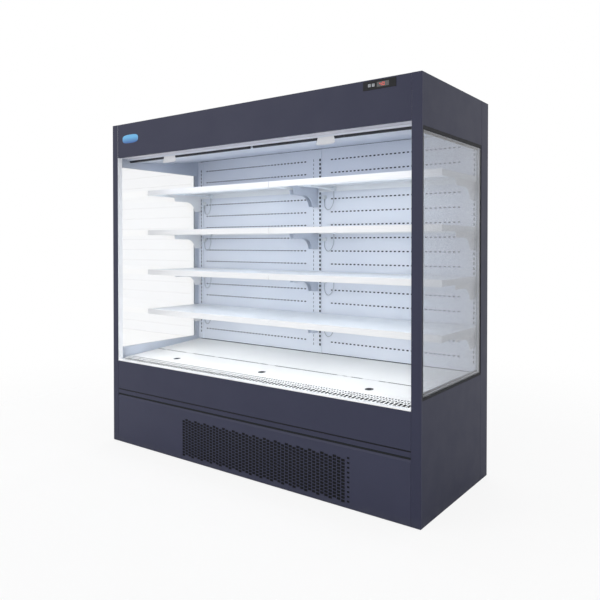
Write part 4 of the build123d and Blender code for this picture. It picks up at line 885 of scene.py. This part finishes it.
returnGrille = {
    "reach": 1.032, "frontY": -0.245, "frontZ": 0.522, "slope": 3.7, "along": -134 * mm, "thick": 2 * mm,
    "postClear": 1.0095,  # half width of the front part, whose corners are cut away round the posts
    "bigPitch": 22 * mm, "bigWide": 13 * mm, "bigLong": 34 * mm, "bigAt": -109 * mm, "margins": 20 * mm,
    "finePitch": 16 * mm, "fineWide": 8.5 * mm, "fineLong": 13 * mm, "fineRows": (-74 * mm, -48 * mm),
    "ledge": -11.5 * mm, "shadeRear": -0.25,
    "legs": (0.89, 0.3), "legReach": 1.036, "legHalf": 20 * mm,
    "leg": (-0.248, -0.245, 0.335, 0.519),  # front, rear, low, high
    "tubStrip": (-0.358, -0.356, 0.505, 0.5137),
    "railReach": 1.010, "railFront": -0.400, "railRear": -0.380, "railLow": 0.507, "railTop": 0.5140,
    "railFoot": 0.505, "railRound": 4 * mm, "panelRear": -0.392,
}


def onDeck(x, along, up):
    # a place drawn flat from the deck's front edge, laid on the slope
    tilt = math.radians(returnGrille["slope"])
    return (x, returnGrille["frontY"] + along * math.cos(tilt) - up * math.sin(tilt),
            returnGrille["frontZ"] + along * math.sin(tilt) + up * math.cos(tilt))


def buildReturnGrille(values):
    reach, inside, thick, ledge = pick(values, "reach postClear thick ledge")

    def onSlope(u, v, side):
        return onDeck(u, v, -side * thick)

    def band(half, v0, v1, size, rows):
        # a stretch of the grille with its rows of holes; size is big or fine
        pitch, wide, long = pick(values, f"{size}Pitch {size}Wide {size}Long")
        count = int((2 * half - values["margins"]) / pitch)
        columns = spansAbout([(n - (count - 1) / 2) * pitch for n in range(count)], wide)
        levels = spansAbout(rows, long)
        return slottedSheet(-half, half, v0, v1, columns, levels, onSlope)

    split = (values["bigAt"] + values["fineRows"][0]) / 2
    verts, faces = joined([band(inside, values["along"], split, "big", [values["bigAt"]]),
                           band(reach, split, -1 * mm, "fine", values["fineRows"])])
    for v0, v1, w0, w1 in ((-3, -1, ledge - 2 * mm, -2 * mm), (-3, 12, ledge - 2 * mm, ledge)):
        first = len(verts)
        addBox(verts, faces, -reach, reach, v0 * mm, v1 * mm, w0, w1)
        verts[first:] = [onDeck(*vert) for vert in verts[first:]]
    # legs stand on the tub's floor, and a strip rests on its front wall
    legReach, half = pick(values, "legReach legHalf")
    for share in values["legs"]:
        for x in (-share * legReach, share * legReach):
            addBox(verts, faces, x - half, x + half, *values["leg"])
    addBox(verts, faces, -inside, inside, *values["tubStrip"])
    grille = newMesh("returnGrille", verts, faces, deckWhite)
    # the grille's hole walls and underside between these depths take the dark steel as painted shade
    shadeFront, shadeRear = onDeck(0, values["along"], 0)[1] + 0.5 * mm, values["shadeRear"]
    showEdges(grille, lambda c, n: n.z < 0.5 and within(c.x, -inside, inside) and shadeFront < c.y < shadeRear)
    standIn(grille, "return_grille")
    # the rail along the front edge: an extrusion with a rounded nose, level with the grille behind it
    nose, rear, panelRear = pick(values, "railFront railRear panelRear")
    low, top, foot, bend = pick(values, "railLow railTop railFoot railRound")
    outline = [(nose, low), (nose, top - bend)]
    for turn in (math.radians(degrees) for degrees in (22, 45, 68, 90)):
        outline.append((nose + bend * (1 - math.cos(turn)), top - bend * (1 - math.sin(turn))))
    outline += [(rear, top), (rear, foot), (panelRear, foot), (panelRear, low)]
    rail = smoothByAngle(extrusion("frontRail", outline, -values["railReach"], values["railReach"], railPvc))
    standIn(rail, "deck_front_rail")


buildReturnGrille(returnGrille)
print("return grille punched")

# glazing gaskets: lips over the edges of each pane, black all round outside; inside they are grey under and
# over the pane and pale at its rear edge

gaskets = {
    "window": (-0.390, 0.305, 0.556, 1.750),  # front, rear, low, high
    "outer": (1.0566, 1.0592), "outerLips": (7 * mm, 3 * mm, 12 * mm, 17 * mm),  # front, rear, low, high
    "inner": (1.0352, 1.0364), "innerLips": (0.0, 20 * mm, 30 * mm, 14 * mm),
    "innerBelow": 18 * mm, "innerAbove": 8 * mm,
}


def frameRing(x0, x1, window, lips, sides):
    # a flat ring round the window between two depths; its sides are 0 low, 1 rear, 2 high and 3 front
    y0, y1, z0, z1 = window
    ahead, behind, under, over = lips
    verts = []
    for x in (x0, x1):
        verts += [(x, y0, z0), (x, y1, z0), (x, y1, z1), (x, y0, z1)]
        verts += [(x, y0 + ahead, z0 + under), (x, y1 - behind, z0 + under),
                  (x, y1 - behind, z1 - over), (x, y0 + ahead, z1 - over)]
    faces = []
    for n in sides:
        m = (n + 1) % 4
        faces += [[n, m, 4 + m, 4 + n], [8 + n, 8 + m, 12 + m, 12 + n],
                  [n, m, 8 + m, 8 + n], [4 + n, 4 + m, 12 + m, 12 + n]]
        if len(sides) < 4:
            faces += [[n, 4 + n, 12 + n, 8 + n], [m, 4 + m, 12 + m, 8 + m]]
    return verts, faces


def buildGaskets(values):
    y0, y1, z0, z1 = values["window"]
    behind = (y0, y1, z0 - values["innerBelow"], z1 + values["innerAbove"])
    kinds = (("outerGasket", "outer", values["window"], (0, 1, 2, 3), rubber),
             ("innerGasket", "inner", behind, (0, 2), greyRubber),
             ("innerJamb", "inner", behind, (1,), paleRubber))
    for side, sideName in ((-1, "Left"), (1, "Right")):
        for name, depth, window, sides, material in kinds:
            x0, x1 = (side * x for x in values[depth])
            ring = frameRing(x0, x1, window, values[depth + "Lips"], sides)
            piece = newMesh(name + sideName, *ring, material)
            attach(piece, "root")


buildGaskets(gaskets)
print("gaskets fitted")

# night blinds: cloth, bottom bar and pull

nightBlind = {
    "plane": -288.7 * mm, "bottom": 1.773, "top": 1.862, "clothNear": 20 * mm, "clothFar": 1.016,
    "thick": 0.8 * mm, "columns": 48, "rows": 16,
    "barNear": 14 * mm, "barFar": 1.022, "barHigh": 16 * mm, "barHalf": 8 * mm, "groove": 1.2 * mm,
    "pullAt": {"Left": -0.648, "Right": 0.492}, "pullWide": 112 * mm, "pullTop": 1.771, "pullLow": 1.729,
    "pullSteps": 14, "pullCorner": 8 * mm,
}


def buildCloth(side, name, cloth, values):
    x0, x1 = sorted(side * x for x in pick(values, "clothNear clothFar"))
    y, thick, bottom, top, columns, rows = pick(values, "plane thick bottom top columns rows")
    us = [x0 + (x1 - x0) * n / columns for n in range(columns + 1)]
    vs = [bottom + (top - bottom) * n / rows for n in range(rows + 1)]
    verts, faces = punchedSheet(us, vs, noHoles, lambda u, v, face: (u, y + (face - 0.5) * thick, v))
    sheet = newMesh("blindCloth" + name, verts, faces, blindCloth, smooth=True)
    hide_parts(cloth)
    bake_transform(sheet)


def buildBar(side, name, bar, values):
    # an extrusion with chamfered edges and a groove for the cloth
    x0, x1 = sorted(side * x for x in pick(values, "barNear barFar"))
    y, half, slot = pick(values, "plane barHalf groove")
    z0, z1 = values["bottom"] - values["barHigh"], values["bottom"]
    outline = [(-half, z0 + 3 * mm), (-half + 1 * mm, z0 + 1 * mm), (-half + 3 * mm, z0), (half - 3 * mm, z0),
               (half - 1 * mm, z0 + 1 * mm), (half, z0 + 3 * mm), (half, z1 - 3 * mm), (half - 3 * mm, z1),
               (slot, z1), (slot, z1 - 4 * mm), (-slot, z1 - 4 * mm), (-slot, z1),
               (-half + 3 * mm, z1), (-half, z1 - 3 * mm)]
    rail = extrusion("blindBar" + name, [(y + dy, z) for dy, z in outline], x0, x1, barAluminium)
    standIn(rail, bar, bar)


def buildPull(name, bar, values):
    # a cupped plate with a turned-out lip and rounded corners
    top, low, steps, corner = pick(values, "pullTop pullLow pullSteps pullCorner")
    middle, face = values["pullAt"][name], values["plane"] - values["barHalf"]
    profile = [(0.0, top), (-2.6 * mm, top), (-2.6 * mm, low + 10 * mm), (-4.2 * mm, low + 4 * mm),
               (-9.6 * mm, low + 0.8 * mm), (-10 * mm, low), (-3 * mm, low + 1.5 * mm), (0.0, low + 8 * mm)]
    verts = []
    for n in range(steps + 1):
        share = 2 * n / steps - 1
        bow = 1 - abs(share) ** 6  # 1 along most of the plate, down to 0 at its ends
        for dy, z in profile:
            down = (top - z) / (top - low)
            half = (values["pullWide"] / 2 - corner) + corner * down
            verts.append((middle + share * half, face + dy * (0.35 + 0.65 * bow),
                          top - (top - z) * (0.82 + 0.18 * bow)))
    faces = lofted(steps + 1, len(profile))
    pull = smoothByAngle(newMesh("blindPull" + name, verts, faces, blindPlastic), 50)
    standIn(pull, bar, bar)


for side, name, cloth, bar in ((-1, "Left", "blind_cloth_left", "blind_bar_left"),
                               (1, "Right", "blind_cloth_right", "blind_bar_right")):
    buildCloth(side, name, cloth, nightBlind)
    buildBar(side, name, bar, nightBlind)
    buildPull(name, bar, nightBlind)
print("night blinds hung")

# header: a plain oval plate, and the controller's digits and key marks

headerPlate = {
    "left": -0.962, "right": -0.8155, "low": 1.858, "high": 1.910, "back": -0.3985, "front": -0.3997,
    "around": 48, "fullness": 3.2,  # 2 is an ellipse, and more comes nearer to an oblong
}


def buildHeaderPlate(values):
    left, right, low, high = pick(values, "left right low high")
    back, front, around, fullness = pick(values, "back front around fullness")
    x, z, a, b = (left + right) / 2, (low + high) / 2, (right - left) / 2, (high - low) / 2
    rings = ((1.0, back), (1.0, front + 0.5 * mm), (0.97, front + 0.1 * mm), (0.9, front))
    verts = []
    for share, y in rings:
        for n in range(around):
            turn = 2 * math.pi * n / around
            cosine, sine = math.cos(turn), math.sin(turn)
            grow = (abs(cosine) ** fullness + abs(sine) ** fullness) ** (-1 / fullness)
            verts.append((x + (a - b * (1 - share)) * cosine * grow, y, z + b * share * sine * grow))
    plate = smoothByAngle(newMesh("headerPlate", verts, lofted(len(rings), around), plateEnamel), 40)
    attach(plate, "root")


buildHeaderPlate(headerPlate)

controllerMarks = {
    "digits": "40", "left": 0.852, "low": 1.9475, "digitWide": 9.5 * mm, "digitHigh": 13 * mm,
    "stroke": 1.5 * mm, "gap": 6 * mm, "trim": 0.25 * mm, "point": 1.6 * mm,
    "back": -0.3996, "front": -0.3999,
    "keys": {"key_up": (0.800, 1), "key_down": (0.820, -1)},  # body: (x, way the mark points)
    "keyBack": -0.3998, "keyFront": -0.39995, "keyZ": 1.954, "markHalf": 3.2 * mm,
}


def buildControllerMarks(values):
    # each figure is made of bars: which of the seven are lit
    lit = {"0": "abcdef", "4": "bcfg"}
    wide, high, stroke, trim = pick(values, "digitWide digitHigh stroke trim")
    low, back, front, gap = pick(values, "low back front gap")
    bars = {"a": (0, high - stroke, wide, high), "d": (0, 0, wide, stroke),
            "g": (0, high / 2 - stroke / 2, wide, high / 2 + stroke / 2),
            "f": (0, high / 2, stroke, high), "e": (0, 0, stroke, high / 2),
            "b": (wide - stroke, high / 2, wide, high), "c": (wide - stroke, 0, wide, high / 2)}
    verts, faces = [], []
    for place, figure in enumerate(values["digits"]):
        x = values["left"] + place * (wide + gap)
        for bar in lit[figure]:
            u0, v0, u1, v1 = bars[bar]
            addBox(verts, faces, x + u0 + trim, x + u1 - trim, front, back, low + v0 + trim, low + v1 - trim)
    x, point = values["left"] + wide + gap / 2, values["point"]
    addBox(verts, faces, x - point / 2, x + point / 2, front, back, low, low + point)
    digits = newMesh("displayDigits", verts, faces, litDigits)
    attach(digits, "root")
    half, z = values["markHalf"], values["keyZ"]
    for body, (x, way) in values["keys"].items():
        corners = [(x - half, z - way * half * 0.8), (x + half, z - way * half * 0.8), (x, z + way * half)]
        verts = [(u, y, v) for y in pick(values, "keyBack keyFront") for u, v in corners]
        mark = newMesh("keyMark" + ("Up" if way > 0 else "Down"), verts, lofted(2, 3), markPaint)
        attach(mark, body)


buildControllerMarks(controllerMarks)
print("header fitted")
